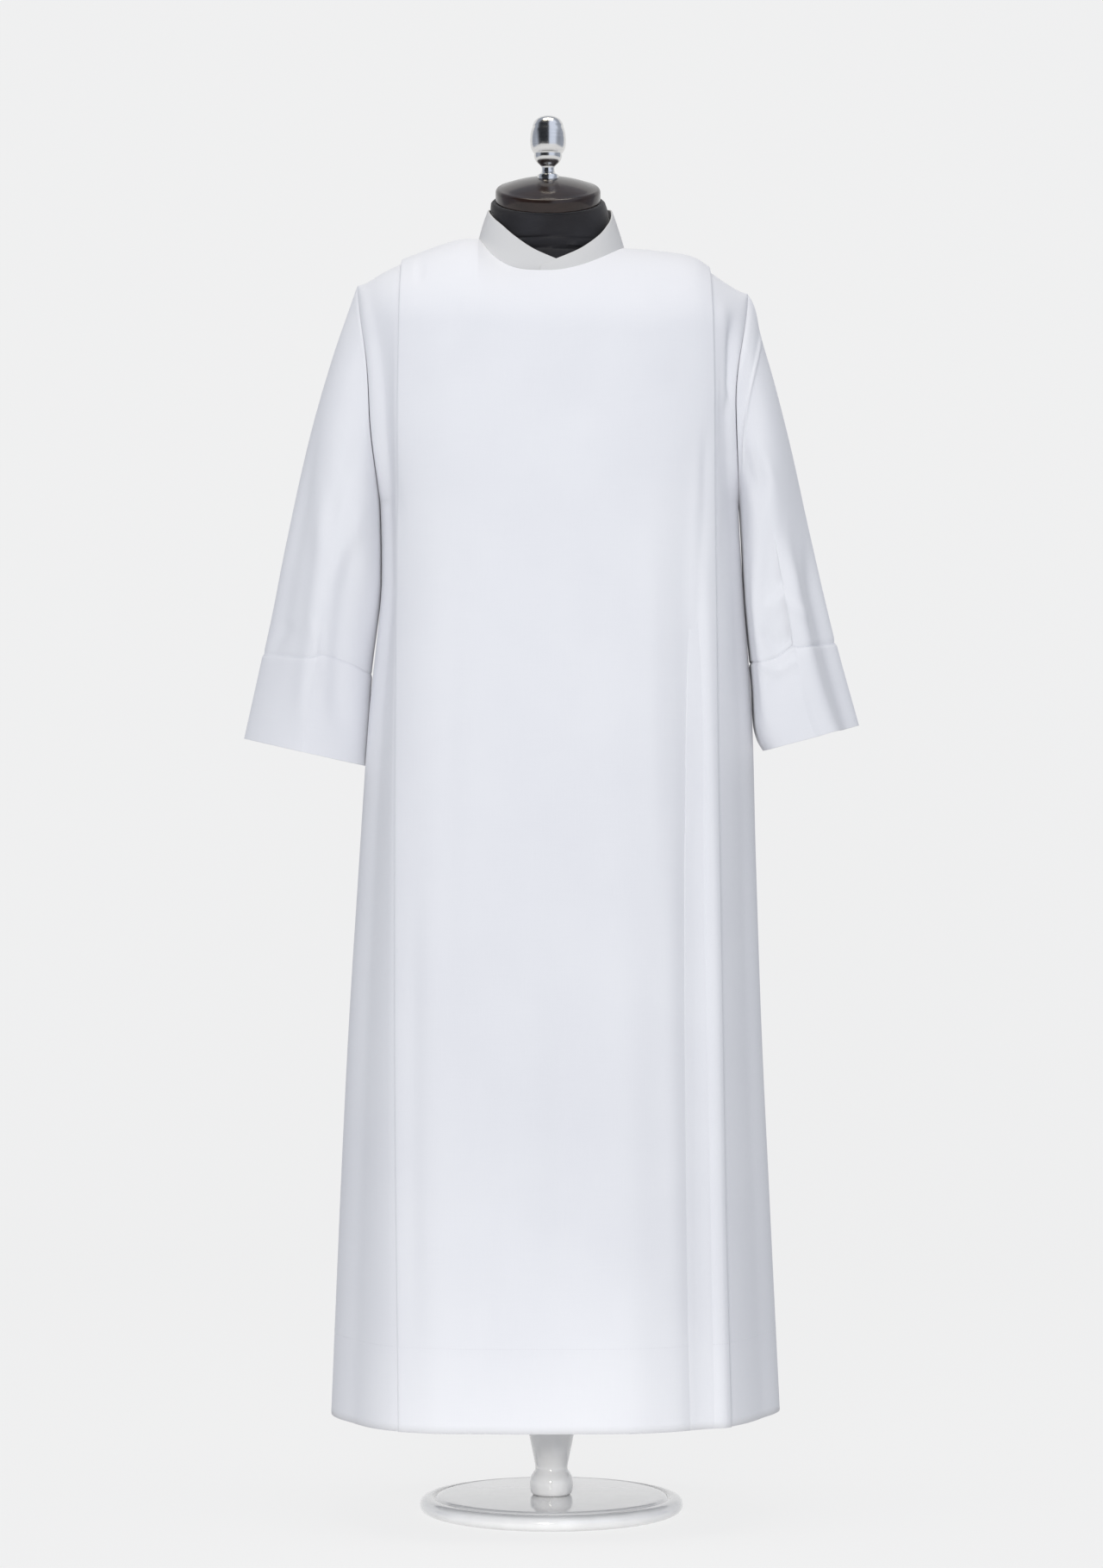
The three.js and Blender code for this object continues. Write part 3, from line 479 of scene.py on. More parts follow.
def panelPoints(side):
    lines = panelLines(-1, side) + centreLines(side) + panelLines(1, side)[::-1]
    columns = []
    for line in lines:
        heights = rowHeights(lineTop(line, side))
        angle = line["angle"](heights)
        normal = bodyNormal(angle, heights, side)
        place = bodyPoint(angle, heights, side)
        x, z = place[:, 0], place[:, 2]
        turn = line.get("turn")
        hold = 1 - ease(heights[-1] - 0.03, heights[-1], z)  # the folds and creases die out at the seams
        if line.get("edge"):
            skirt = z <= armhole["pit"]
            normal[skirt, 1] = 0
            normal[skirt] = unit(normal[skirt])
        if turn is not None:
            normal[-1] = (math.sin(turn * math.pi / 2), side * math.cos(turn * math.pi / 2), 0)
        else:
            normal[-1, 1] = 0
            normal[-1] = unit(normal[-1])
        out = foldOut(x, z, side) * (1 if turn is None else hold)
        free = hold * np.clip(1 - line["deep"] / (2.5 * panel["layer"]), 0.2, 1) * line.get("free", 1)
        extra = creaseOut(bodyCreases[side], x, z) + uneven(x, z, 1.3 + side)
        deep = line["deep"]
        if "flat" in line:  # between the fold and the side seam the cloth runs straighter than the body
            hand, bend = line["flat"]
            deep = deep + bend * readTable(sideDrop[hand], "depth", heights) * mm
        place = place + normal * (out + extra * free - deep)[:, None]
        if line.get("edge"):
            place[z <= armhole["pit"], 1] = side * 0.15 * mm
        columns.append(place)
    return np.stack(columns, axis=1)


def buildPanel(name, side):
    points = panelPoints(side)
    mesh = clothMesh(name, points)
    piece = linkPiece(name, mesh, ["front" if side < 0 else "back"])
    faceOut(mesh, lambda place: Vector((0, side, 0)))
    thicken(piece, panel["thickness"])
    return piece, points


frontPiece, frontPoints = buildPanel("alb_front", -1)
backPiece, backPoints = buildPanel("alb_back", 1)


sleeve = {
    "rows": 150,
    "hemRows": 46,
    "columns": 120,
    "thickness": 1.0 * mm,
    "square": 2.3,
    "bodyGap": 0.4 * mm,
    "setIn": 0.34,
    "hemLean": 0.16,
    "tuck": 1.2 * mm,
}
sleeveShape = {
    -1: {
        "outer": {"height": [938, 1037, 1087, 1170, 1302, 1401, 1489], "across": [373, 351, 340, 323.5, 294, 266, 236]},
        "inner": {"height": [905, 1010, 1125, 1225], "across": [224, 219, 206, 208]},
        "front": {"along": [0, 350, 1000], "depth": [64, 70, 63]},
        "back": {"along": [0, 350, 1000], "depth": [62, 66, 62]},
        "square": (1.35, 1.6),
        "hem": 0.815,
        "groove": 0.9,
        "head": 0.2,
    },
    1: {
        "outer": {"height": [954, 1060, 1191, 1286, 1369, 1430, 1460, 1479],
                  "across": [373, 343.5, 313, 292, 271, 254, 248, 239]},
        "inner": {"height": [924, 936, 955, 1005, 1110, 1225], "across": [259, 252, 247, 244, 234, 229]},
        "front": {"along": [0, 350, 1000], "depth": [64, 74, 80]},
        "back": {"along": [0, 350, 1000], "depth": [62, 72, 80]},
        "square": (1.25, 5.0),
        "hem": 0.81,
        "groove": 1.7,
        "head": 0.8,
    },
}
# creases in sleeve places: the turn in degrees from the outer line, the way down in thousandths
sleeveCreases = {
    -1: [
        crease((60, 330), (78, 985), 13, 5.0, bow=3, soft=0.25),
        crease((112, 300), (128, 960), 13, -5.5, bow=-4, soft=0.25),
        crease((30, 240), (36, 900), 11, -2.4, soft=0.35),
        crease((96, 120), (64, 470), 8, -2.6, soft=0.4),
        crease((120, 160), (92, 560), 8, 2.4, soft=0.4),
        crease((48, 700), (20, 820), 8, -1.8),
        crease((74, 640), (98, 830), 8, 1.8),
        crease((-60, 300), (-72, 980), 13, 4.4, bow=-4),
        crease((-104, 260), (-118, 940), 13, -4.6),
        crease((-30, 200), (-44, 860), 10, -2.4),
        crease((-128, 180), (-96, 560), 8, 2.2),
    ],
    1: [
        crease((4, 100), (130, 60), 6, 2.4, soft=0.2),
        crease((118, 40), (84, 330), 8, -3.0, soft=0.35),
        crease((100, 60), (62, 400), 8, 2.6, soft=0.4),
        crease((58, 1040), (64, 420), 12, 8.5, bow=-4, soft=0.3, open=True),
        crease((30, 1040), (32, 520), 13, -7.0, soft=0.3, open=True),
        crease((88, 320), (92, 900), 12, -4.0, bow=3, soft=0.3),
        crease((122, 300), (128, 960), 12, 3.4, soft=0.3),
        crease((116, 560), (62, 790), 7, -3.2, bow=8),
        crease((104, 500), (48, 720), 7, 2.6, bow=8),
        crease((124, 660), (80, 805), 7, 2.4, bow=6),
        crease((-56, 320), (-64, 980), 13, 4.6, bow=4),
        crease((-100, 280), (-112, 950), 12, -4.4),
        crease((-130, 240), (-88, 620), 8, 2.4),
        crease((-28, 180), (-40, 840), 10, -2.2),
    ],
}


def sleeveFrame(hand, along):
    shape = sleeveShape[hand]
    outerHeight = mix(shape["outer"]["height"][-1], shape["outer"]["height"][0], along) * mm
    innerHeight = mix(armhole["pit"], shape["inner"]["height"][0] * mm, along)
    body = readTable(bodyShape, "left" if hand < 0 else "right", innerHeight) * mm + sleeve["bodyGap"]
    outerAcross = readTable(shape["outer"], "across", outerHeight) * mm
    innerAcross = np.maximum(readTable(shape["inner"], "across", innerHeight) * mm, body)
    outer = np.stack([hand * outerAcross, 0 * along, outerHeight], axis=-1)
    inner = np.stack([hand * innerAcross, 0 * along, innerHeight], axis=-1)
    front = readTable(shape["front"], "depth", along) * mm
    back = readTable(shape["back"], "depth", along) * mm
    return (outer + inner) / 2, (outer - inner) / 2, front, back


# the angle is 0 on the outer line, 90 at the front and 180 on the inner line
def sleevePoint(hand, along, angle):
    centre, reach, front, back = sleeveFrame(hand, along)
    outerSquare, innerSquare = sleeveShape[hand]["square"]
    settled = ease(0.08, 0.55, along)
    square = mix(sleeve["square"], np.where(np.cos(angle) > 0, outerSquare, innerSquare), settled)
    power = 2 / square
    across = np.sign(np.cos(angle)) * np.abs(np.cos(angle)) ** power
    deep = np.sign(np.sin(angle)) * np.abs(np.sin(angle)) ** power
    point = centre + reach * across[..., None]
    point[..., 1] -= deep * np.where(deep > 0, front, back)
    return point


# place of a row down the sleeve: the hem's rows lie higher on the shorter inner line
def rowPlace(hand, along, angle):
    hem = sleeveShape[hand]["hem"]
    raised = hem - sleeve["hemLean"] * (1 - np.cos(angle)) / 2
    return along * raised / hem if along < hem else mix(raised, 1, (along - hem) / (1 - hem))


def armholeRing(hand, angle):
    share = 1 - np.abs(angle) / math.pi
    tip = shoulders[hand]["height"][-1] * mm
    height = mix(armhole["pit"], tip, 0.5 - 0.5 * np.cos(math.pi * share))
    ring = np.zeros(angle.shape + (3,))
    for side in (-1, 1):
        use = (angle < 0) == (side > 0)
        edge = edgeAngle(height, hand, side)
        place = bodyPoint(edge, height, side)
        place += bodyNormal(edge, height, side) * foldOut(place[:, 0], place[:, 2], side)[:, None]
        ring[use] = place[use]
    return ring


def sleevePoints(hand):
    shape = sleeveShape[hand]
    columns = sleeve["columns"] + 1
    angle = np.linspace(math.pi, -math.pi, columns)
    hem = shape["hem"]
    alongs = np.concatenate([[0, 0.002], np.linspace(0.008, hem - 0.006, sleeve["rows"] - sleeve["hemRows"]),
                             [hem - 0.003, hem, hem + 0.003], np.linspace(hem + 0.007, 0.996, 36), [0.9985, 1]])
    ring = armholeRing(hand, angle)
    ring[0, 1] = ring[-1, 1] = 0
    rows = []
    start = sleevePoint(hand, np.zeros(columns), angle)
    for along in alongs:
        down = rowPlace(hand, along, angle)
        pull = np.maximum(1 - down / sleeve["setIn"], 0) ** 2
        point = sleevePoint(hand, down, angle) + (ring - start) * pull[:, None]
        around = sleevePoint(hand, down, angle + 0.1) - sleevePoint(hand, down, angle - 0.1)
        near = np.minimum(down, 0.98)
        length = sleevePoint(hand, near + 0.02, angle) - sleevePoint(hand, near, angle)
        normal = unit(np.cross(around, length))
        outward = sleevePoint(hand, down, angle) - sleeveFrame(hand, down)[0]
        normal *= np.sign((normal * outward).sum(axis=1, keepdims=True))
        # degrees and thousandths, one degree near a millimetre of the cloth
        turn = np.degrees(angle) * mm
        extra = creaseOut(sleeveCreases[hand], turn, down)
        extra += uneven(turn, down * 0.6, 4.0 + hand)
        inner = ease(math.radians(150), math.radians(180), np.abs(angle))
        extra = extra * (1 - 0.9 * inner)
        extra *= float(ease(0, 0.05, along))
        # ridge of the turned hem above its stitches, and the set-in seam at the top
        step = 0.9 * mm * float(ease(hem - 0.003, hem + 0.003, along))
        groove = -shape["groove"] * mm * math.exp(-((along - hem + 0.002) / 0.0045) ** 2)
        seam = mix(0.3, 1, ease(0.2, 0.8, np.abs(angle)))  # the seam is flatter over the shoulder
        tuck = -sleeve["tuck"] * seam if along == 0 else (-0.5 * mm * seam if along == 0.002 else 0)
        head = shape["head"] * mm * math.exp(-((along - 0.016) / 0.012) ** 2)
        rows.append(point + normal * (extra + step + groove + tuck + head)[:, None])
    points = np.stack(rows)
    points[:, -1] = points[:, 0]
    return points


def buildSleeve(name, hand):
    points = sleevePoints(hand)
    mesh = clothMesh(name, points, closed=True)
    centre = points.mean(axis=(0, 1))
    faceOut(mesh, lambda place: Vector((place.x - centre[0], place.y, 0)))
    piece = linkPiece(name, mesh, ["sleeve_left" if hand < 0 else "sleeve_right"])
    thicken(piece, sleeve["thickness"])
    return piece, points


leftSleeve, leftSleevePoints = buildSleeve("alb_sleeve_left", -1)
rightSleeve, rightSleevePoints = buildSleeve("alb_sleeve_right", 1)


collar = {
    "rows": 12,
    "columns": 200,
    "thickness": 2 * mm,
    "gap": -1.2 * mm,
    "underlap": 2.8 * mm,
    "underEnd": 14,
    "overEnd": -9,
    "openTurn": 4.2,
    "leanFront": 0.31,
    "leanBack": 0.16,
}
collarTops = {"angle": [-14, 0, 10, 22, 42, 62, 90, 180], "height": [1504, 1513, 1519, 1527, 1544, 1562, 1580, 1590]}


def collarPoints():
    # the way round runs from the under end, past the back, to the end that lies on top
    way = np.linspace(-collar["underEnd"], 360 - collar["overEnd"], collar["columns"])
    hand = np.where(way <= 180, -1, 1)
    angle = np.where(way <= 180, way, 360 - way)
    turn = np.radians(angle)
    across = hand * neckline["halfWidth"] * np.sin(turn)
    front = np.abs(angle) <= 90
    base = np.where(front, neckHeight(across, -1), neckHeight(across, 1)) + collar["gap"]
    depth = np.where(front, -neckDepth(across, -1), neckDepth(across, 1))
    under = np.where(hand < 0, 1 - ease(0, 50, angle), 0)
    lapped = angle - hand * collar["openTurn"] * (1 - ease(40, 120, angle))
    tops = readTable(collarTops, "height", lapped * mm) * mm
    lean = mix(collar["leanFront"], collar["leanBack"], ease(80, 180, angle))
    direction = np.stack([hand * np.sin(turn), -np.cos(turn), 0 * turn], axis=1)
    rows = []
    for i in range(collar["rows"] + 1):
        share = i / collar["rows"]
        height = (tops - base) * share
        crown = 0.9 * mm * math.sin(math.pi * share)
        wave = 0.5 * mm * np.sin(np.radians(way) * 5 + 1.2) * share
        seated = 0.9 * mm * (1 - share) ** 4
        inwards = height * lean + under * collar["underlap"] - crown - wave - seated
        point = np.stack([across, depth, base + height], axis=1) - direction * inwards[:, None]
        rows.append(point)
    return np.stack(rows)


def buildCollar():
    points = collarPoints()
    mesh = clothMesh("alb_collar", points)
    faceOut(mesh, lambda place: Vector((place.x, place.y, 0)))
    piece = linkPiece("alb_collar", mesh, ["collar_band"])
    thicken(piece, collar["thickness"])
    edge = piece.modifiers.new("edge", "BEVEL")
    edge.width = 0.7 * mm
    edge.segments = 2
    edge.limit_method = "ANGLE"
    edge.angle_limit = math.radians(50)
    return piece


collarPiece = buildCollar()


stitch = {"hem": 0.094, "length": 2.5 * mm, "pitch": 3.3 * mm, "width": 0.55 * mm, "height": 0.35 * mm}


# evenly spaced places along a line of points
def evenPlaces(line, pitch):
    steps = np.linalg.norm(np.diff(line, axis=0), axis=1)
    length = np.concatenate([[0], np.cumsum(steps)])
    at = np.arange(pitch / 2, length[-1], pitch)

    def placeAt(way):
        return np.stack([np.interp(way, length, line[:, k]) for k in range(3)], axis=1)

    return placeAt(at), unit(placeAt(at + pitch * 0.2) - placeAt(at - pitch * 0.2))


def sewLine(bm, line, outward):
    place, run = evenPlaces(line, stitch["pitch"])
    for point, ahead in zip(place, run):
        up = Vector(outward(point))
        x = Vector(ahead)
        y = up.cross(x).normalized()
        z = x.cross(y).normalized()
        turn = Matrix((x, y, z)).transposed().to_4x4()
        made = bmesh.ops.create_icosphere(bm, subdivisions=1, radius=0.5)
        size = Matrix.Diagonal((stitch["length"], stitch["width"], stitch["height"], 1))
        bmesh.ops.transform(bm, matrix=Matrix.Translation(Vector(point)) @ turn @ size, verts=made["verts"])


def finishStitches(bm, name):
    smoothFaces(bm)
    mesh = meshOf(bm, name)
    print("stitches:", name, len(mesh.polygons), "faces")
    return linkPiece(name, mesh)


def axisOut(centre):
    def outward(point):
        return (point[0] - centre[0], point[1] - centre[1], 0.0001)
    return outward


print("scene: cloth done")


formShape = {
    "height": [806, 812, 900, 1010, 1110, 1240, 1340, 1420, 1465, 1490, 1508, 1516, 1522, 1525.5, 1528, 1530.6,
               1537, 1540.6, 1541.3, 1546, 1568, 1582, 1588, 1590.2],
    "left": [150, 166, 172, 162, 160, 172, 184, 188, 184, 174, 161, 156, 152, 149, 146, 141, 126, 111, 98, 30, 30,
             30, 30, 30],
    "right": [150, 166, 172, 162, 162, 178, 186, 190, 188, 181, 170, 164, 154, 139, 119, 30, 30, 30, 30, 30, 30,
              30, 30, 30],
    "front": [92, 106, 110, 104, 104, 110, 108, 98, 84, 64, 49, 40, 33, 20, 5, 10, 12, 10, 4, 4, 4, 4, 4, 4],
    "back": [92, 108, 116, 100, 92, 100, 100, 92, 80, 62, 50, 43, 35, 20, 5, 10, 12, 10, 4, 4, 4, 4, 4, 4],
    "square": [2.2, 2.2, 2.2, 2.2, 2.2, 2.3, 2.4, 2.4, 2.3, 2.2, 2.1, 2, 2, 2, 2, 2, 2, 2, 2, 2, 2, 2, 2, 2],
    "neck": [0, 0, 0, 0, 0, 0, 0, 60, 72, 74, 74, 74, 73.5, 73.5, 73, 72.5, 72.5, 72, 72, 71.5, 71, 70.8, 69.5, 67],
}
form = {"points": 96, "ridgeBlend": 7, "neckDepth": 0.92, "tilt": 20, "tiltFrom": 1.535, "neckTop": 1.5902,
        "shift": -4.2 * mm, "shiftFrom": 1.562}


def buildForm():
    heights = np.array(formShape["height"]) * mm
    levels = [heights[0]]
    for low, high in zip(heights[:-1], heights[1:]):
        steps = max(1, int((high - low) / 0.009))
        levels += [mix(low, high, (i + 1) / steps) for i in range(steps)]
    turn = np.linspace(0, 2 * math.pi, form["points"] + 1)
    cosine, sine = np.cos(turn), np.sin(turn)
    rows = []
    for level in levels:
        def at(name):
            return float(readTable(formShape, name, level))
        power = 2 / at("square")
        half = np.where(cosine < 0, at("left"), at("right")) * mm
        depth = np.where(sine < 0, at("front"), at("back")) * mm
        wide = np.stack([half * np.abs(cosine) ** power, depth * np.abs(sine) ** power], axis=1)
        reach = np.linalg.norm(wide, axis=1)
        direction = wide / np.maximum(reach, 1e-9)[:, None]
        neck = at("neck") * mm
        ring = 1 / np.hypot(direction[:, 0] / max(neck, 1e-5), direction[:, 1] / max(neck * form["neckDepth"], 1e-5))
        blend = form["ridgeBlend"]
        reach = (reach ** blend + ring ** blend) ** (1 / blend)
        x, y = np.sign(cosine) * direction[:, 0] * reach, np.sign(sine) * direction[:, 1] * reach
        lift = math.tan(math.radians(form["tilt"])) * float(ease(form["tiltFrom"], form["neckTop"] - 0.004, level))
        aside = form["shift"] * float(ease(form["shiftFrom"], form["neckTop"], level))
        rows.append(np.stack([x + aside, y, level + y * lift], axis=1))
    points = np.stack(rows)
    points[:, -1] = points[:, 0]
    mesh = clothMesh("form_cover", points, closed=True)
    bm = bmesh.new()
    bm.from_mesh(mesh)
    rim = [edge for edge in bm.edges if edge.is_boundary]
    bmesh.ops.holes_fill(bm, edges=rim, sides=0)
    bmesh.ops.recalc_face_normals(bm, faces=bm.faces)
    for face in bm.faces:
        face.smooth = len(face.verts) == 4
    bm.to_mesh(mesh)
    bm.free()
    return linkPiece("form_cover", mesh, ["form_torso"])


formPiece = buildForm()


# body turned about the upright axis from rows of radius and height
def spunBody(name, profile, steps, replaced, place=None, sharp=35):
    bm = bmesh.new()
    verts = [bm.verts.new((radius * mm, 0, height * mm)) for radius, height in profile]
    edges = [bm.edges.new(pair) for pair in zip(verts[:-1], verts[1:])]
    bmesh.ops.spin(bm, geom=verts + edges, cent=(0, 0, 0), axis=(0, 0, 1), angle=2 * math.pi, steps=steps,
                   use_merge=True)
    bmesh.ops.remove_doubles(bm, verts=bm.verts, dist=1e-6)
    bmesh.ops.recalc_face_normals(bm, faces=bm.faces)
    if place:
        bmesh.ops.transform(bm, matrix=place, verts=bm.verts)
    for edge in bm.edges:
        edge.smooth = not edge.is_manifold or edge.calc_face_angle() < math.radians(sharp)
    smoothFaces(bm)
    return linkPiece(name, meshOf(bm, name), replaced)


# finer curve through the rows of a profile
def smoothProfile(rows, steps):
    rows = np.array(rows, float)
    length = np.concatenate([[0], np.cumsum(np.linalg.norm(np.diff(rows, axis=0), axis=1))])
    table = {"place": length / mm, "radius": rows[:, 0], "height": rows[:, 1]}
    at = np.linspace(0, length[-1], steps)
    return list(zip(readTable(table, "radius", at), readTable(table, "height", at)))


cap = {"height": 1590.5, "across": -4.2, "tilt": 20, "rise": 12, "rim": 58.3, "rimHeight": 17}
capSide = [(0, 0), (62.6, 0), (63.5, 0.4), (63.8, 1.5), (63.8, 11.5), (63.6, 13), (63, 14.5), (62.1, 15.6), (61, 16.3),
           (59.7, 16.7), (58.3, 17)]
capDome = []
for i in range(1, 15):
    share = i / 14
    capDome.append((cap["rim"] * (1 - share), cap["rimHeight"] + cap["rise"] * (1 - (1 - share) ** 2)))
capPlace = Matrix.Translation((cap["across"] * mm, 0, cap["height"] * mm))
capPlace = capPlace @ Matrix.Rotation(math.radians(cap["tilt"]), 4, "X")
capPiece = spunBody("neck_cap_turned", capSide + capDome, 128, ["neck_cap"], capPlace)

finialRows = [(0, -4), (13, -4), (13, 2), (11.4, 3.2), (9.5, 4.5), (8.2, 6.4), (7.8, 8), (7.7, 10), (8, 12),
              (9.2, 13.8), (11, 15.5), (13, 17.1), (14.6, 19), (15.9, 21), (16.8, 23.5), (17.1, 26), (16.8, 28),
              (17.6, 29.4), (19.6, 32), (20.7, 35), (21.4, 38), (21.8, 42), (21.8, 46), (21.2, 52.5), (20.5, 56),
              (19.6, 59), (18.7, 60.6), (18.7, 62.4), (18.2, 64), (17.1, 66.6), (15.4, 69), (13.6, 70.8), (11.4, 72),
              (9, 73.1), (6, 74), (3, 74.6), (0, 74.8)]
finialPiece = spunBody("finial_turned", finialRows, 96, ["finial"],
                       Matrix.Translation((cap["across"] * mm, 0, 1.6205)), sharp=60)

baseRows = [(0, 0), (152, 0), (155.4, 1.2), (158, 3), (159.5, 5.6), (160, 8.5), (159.6, 11.6), (158.5, 14),
            (156.2, 16.2), (153, 17.6), (149, 18.2), (145.6, 18.4), (144.4, 17.9), (143.4, 16.4), (142.2, 16),
            (141, 16.3), (139.8, 17.8), (138.5, 18.8), (135.6, 19.6), (132, 20), (0, 20)]
basePiece = spunBody("base_plate_painted", baseRows, 160, ["base_plate"], sharp=60)

postRows = [(22.5, 0), (25, 3), (26.4, 11), (26, 19), (23.5, 25), (20, 29.5), (19.6, 34), (23, 51), (28.5, 79),
            (33, 112), (34, 132), (30, 146), (22, 152)]
postPiece = spunBody("turned_post_painted", [(0, 0)] + smoothProfile(postRows, 40) + [(0, 152)], 96,
                     ["turned_post"], Matrix.Translation((0, 0, 0.0203)), sharp=60)

poleRows = [(0, 172.6), (15.2, 172.6), (16, 173.4), (16, 804.9), (15.2, 805.7), (0, 805.7)]
polePiece = spunBody("pole_steel", poleRows, 64, ["pole"], sharp=60)
print("scene: form and stand done")


def buildStitches():
    made = {}
    bottom = int(round(stitch["hem"] / ((armhole["pit"] - hemHeight) / panel["skirtRows"])))
    for name, points, side in (("front", frontPoints, -1), ("back", backPoints, 1)):
        bm = bmesh.new()
        line = points[bottom]
        keep = np.abs(line[:, 0]) < 0.3
        # only the outer face shows, so the row runs over the folds and not into them
        columns = panel["sideColumns"] + 2
        hidden = set(range(columns, columns + 12)) | set(range(len(line) - columns - 12, len(line) - columns))
        shown = np.array([k not in hidden for k in range(len(line))]) & keep
        cuts = np.flatnonzero(np.diff(shown.astype(int)))
        for part in np.split(np.arange(len(line)), cuts + 1):
            if shown[part[0]] and len(part) > 3:
                row = line[part]
                outward = axisOut((0, -side * 0.4))
                lift = unit(np.stack([row[:, 0] * 0.5, np.full(len(row), side * 0.2), 0 * row[:, 0]], axis=1))
                sewLine(bm, row + lift * 0.12 * mm, outward)
        made[name] = finishStitches(bm, name + "_stitches")
    for name, points in (("sleeve_left", leftSleevePoints), ("sleeve_right", rightSleevePoints)):
        bm = bmesh.new()
        line = points[sleeve["rows"] - sleeve["hemRows"] + 3]
        centre = line.mean(axis=0)
        sewLine(bm, line + unit(line - centre) * 0.3 * mm, axisOut(centre))
        made[name] = finishStitches(bm, name + "_stitches")
    return made


stitches = buildStitches()


def newMaterial(name):
    material = bpy.data.materials.new(name)
    material.use_nodes = True
    nodes = material.node_tree.nodes
    shader = nodes["Principled BSDF"]
    return material, nodes, material.node_tree.links, shader


def setInputs(node, **values):
    for label, value in values.items():
        node.inputs[label.replace("_", " ")].default_value = value


def groupTree(name, inputs, outputs):
    tree = bpy.data.node_groups.new(name, "ShaderNodeTree")
    for label, kind, value in inputs:
        socket = tree.interface.new_socket(label, in_out="INPUT", socket_type=kind)
        if value is not None:
            socket.default_value = value
    for label, kind in outputs:
        tree.interface.new_socket(label, in_out="OUTPUT", socket_type=kind)
    entry = tree.nodes.new("NodeGroupInput")
    leave = tree.nodes.new("NodeGroupOutput")
    return tree, tree.nodes, tree.links, entry, leave


def noiseNode(nodes, links, vector, scale=1, detail=2, distortion=0):
    noise = nodes.new("ShaderNodeTexNoise")
    setInputs(noise, Scale=scale, Detail=detail, Distortion=distortion)
    links.new(vector, noise.inputs["Vector"])
    return noise.outputs[0]


def stretched(nodes, links, vector, scale):
    place = nodes.new("ShaderNodeMapping")
    place.inputs["Scale"].default_value = scale
    links.new(vector, place.inputs[0])
    return place.outputs[0]


def objectPlace(nodes):
    return nodes.new("ShaderNodeTexCoord").outputs["Object"]


def mathNode(nodes, links, operation, a, b=None, c=None):
    node = nodes.new("ShaderNodeMath")
    node.operation = operation
    for slot, value in enumerate((a, b, c)):
        if value is None:
            continue
        if isinstance(value, (int, float)):
            node.inputs[slot].default_value = value
        else:
            links.new(value, node.inputs[slot])
    return node.outputs[0]


# plain weave: threads over and under each other, with slubs; UV in metres
def weaveGroup():
    tree, nodes, links, entry, leave = groupTree(
        "plainWeave",
        [("Vector", "NodeSocketVector", None), ("Threads", "NodeSocketFloat", 1600.0),
         ("Slub", "NodeSocketFloat", 0.4)],
        [("Height", "NodeSocketFloat"), ("Shade", "NodeSocketFloat")])
    split = nodes.new("ShaderNodeSeparateXYZ")
    links.new(entry.outputs["Vector"], split.inputs[0])
    turns = mathNode(nodes, links, "MULTIPLY", entry.outputs["Threads"], math.pi)
    u = mathNode(nodes, links, "MULTIPLY", split.outputs[0], turns)
    v = mathNode(nodes, links, "MULTIPLY", split.outputs[1], turns)
    su, sv = mathNode(nodes, links, "SINE", u), mathNode(nodes, links, "SINE", v)
    weave = mathNode(nodes, links, "MULTIPLY", su, sv)
    slubs = []
    for stretch in ((900, 26, 1), (24, 900, 1)):
        slubs.append(noiseNode(nodes, links, stretched(nodes, links, entry.outputs["Vector"], stretch)))
    both = mathNode(nodes, links, "ADD", slubs[0], slubs[1])
    centred = mathNode(nodes, links, "SUBTRACT", both, 1.0)
    uneven = mathNode(nodes, links, "MULTIPLY", centred, entry.outputs["Slub"])
    height = mathNode(nodes, links, "MULTIPLY_ADD", weave, 0.35, uneven)
    links.new(height, leave.inputs["Height"])
    links.new(mathNode(nodes, links, "MULTIPLY_ADD", centred, 0.5, 0.5), leave.inputs["Shade"])
    return tree


# soft mottling, in object places
def mottleGroup():
    tree, nodes, links, entry, leave = groupTree(
        "mottle",
        [("Vector", "NodeSocketVector", None), ("Scale", "NodeSocketFloat", 6.0)],
        [("Mask", "NodeSocketFloat")])
    large = nodes.new("ShaderNodeTexNoise")
    large.inputs["Detail"].default_value = 3
    for label in ("Vector", "Scale"):
        links.new(entry.outputs[label], large.inputs[label])
    spread = nodes.new("ShaderNodeMapRange")
    setInputs(spread, From_Min=0.35, From_Max=0.65)
    links.new(large.outputs[0], spread.inputs[0])
    links.new(spread.outputs[0], leave.inputs["Mask"])
    return tree


weave = weaveGroup()
mottle = mottleGroup()


def useGroup(nodes, tree, values):
    node = nodes.new("ShaderNodeGroup")
    node.node_tree = tree
    for label, value in values.items():
        node.inputs[label].default_value = value
    return node


def mixColour(nodes, links, mask, low, high):
    node = nodes.new("ShaderNodeMix")
    node.data_type = "RGBA"
    links.new(mask, node.inputs["Factor"])
    node.inputs["A"].default_value = (*low, 1)
    node.inputs["B"].default_value = (*high, 1)
    return node.outputs["Result"]


def colourAndRoughness(nodes, links, shader, mask, low, high, rough, roughMask=None):
    links.new(mixColour(nodes, links, mask, low, high), shader.inputs["Base Color"])
    links.new(ranged(nodes, links, roughMask or mask, *rough), shader.inputs["Roughness"])


def addBump(nodes, links, shader, height, strength, distance):
    bump = nodes.new("ShaderNodeBump")
    setInputs(bump, Strength=strength, Distance=distance)
    links.new(height, bump.inputs["Height"])
    links.new(bump.outputs[0], shader.inputs["Normal"])


def ranged(nodes, links, value, low, high):
    node = nodes.new("ShaderNodeMapRange")
    links.new(value, node.inputs[0])
    setInputs(node, To_Min=low, To_Max=high)
    return node.outputs[0]


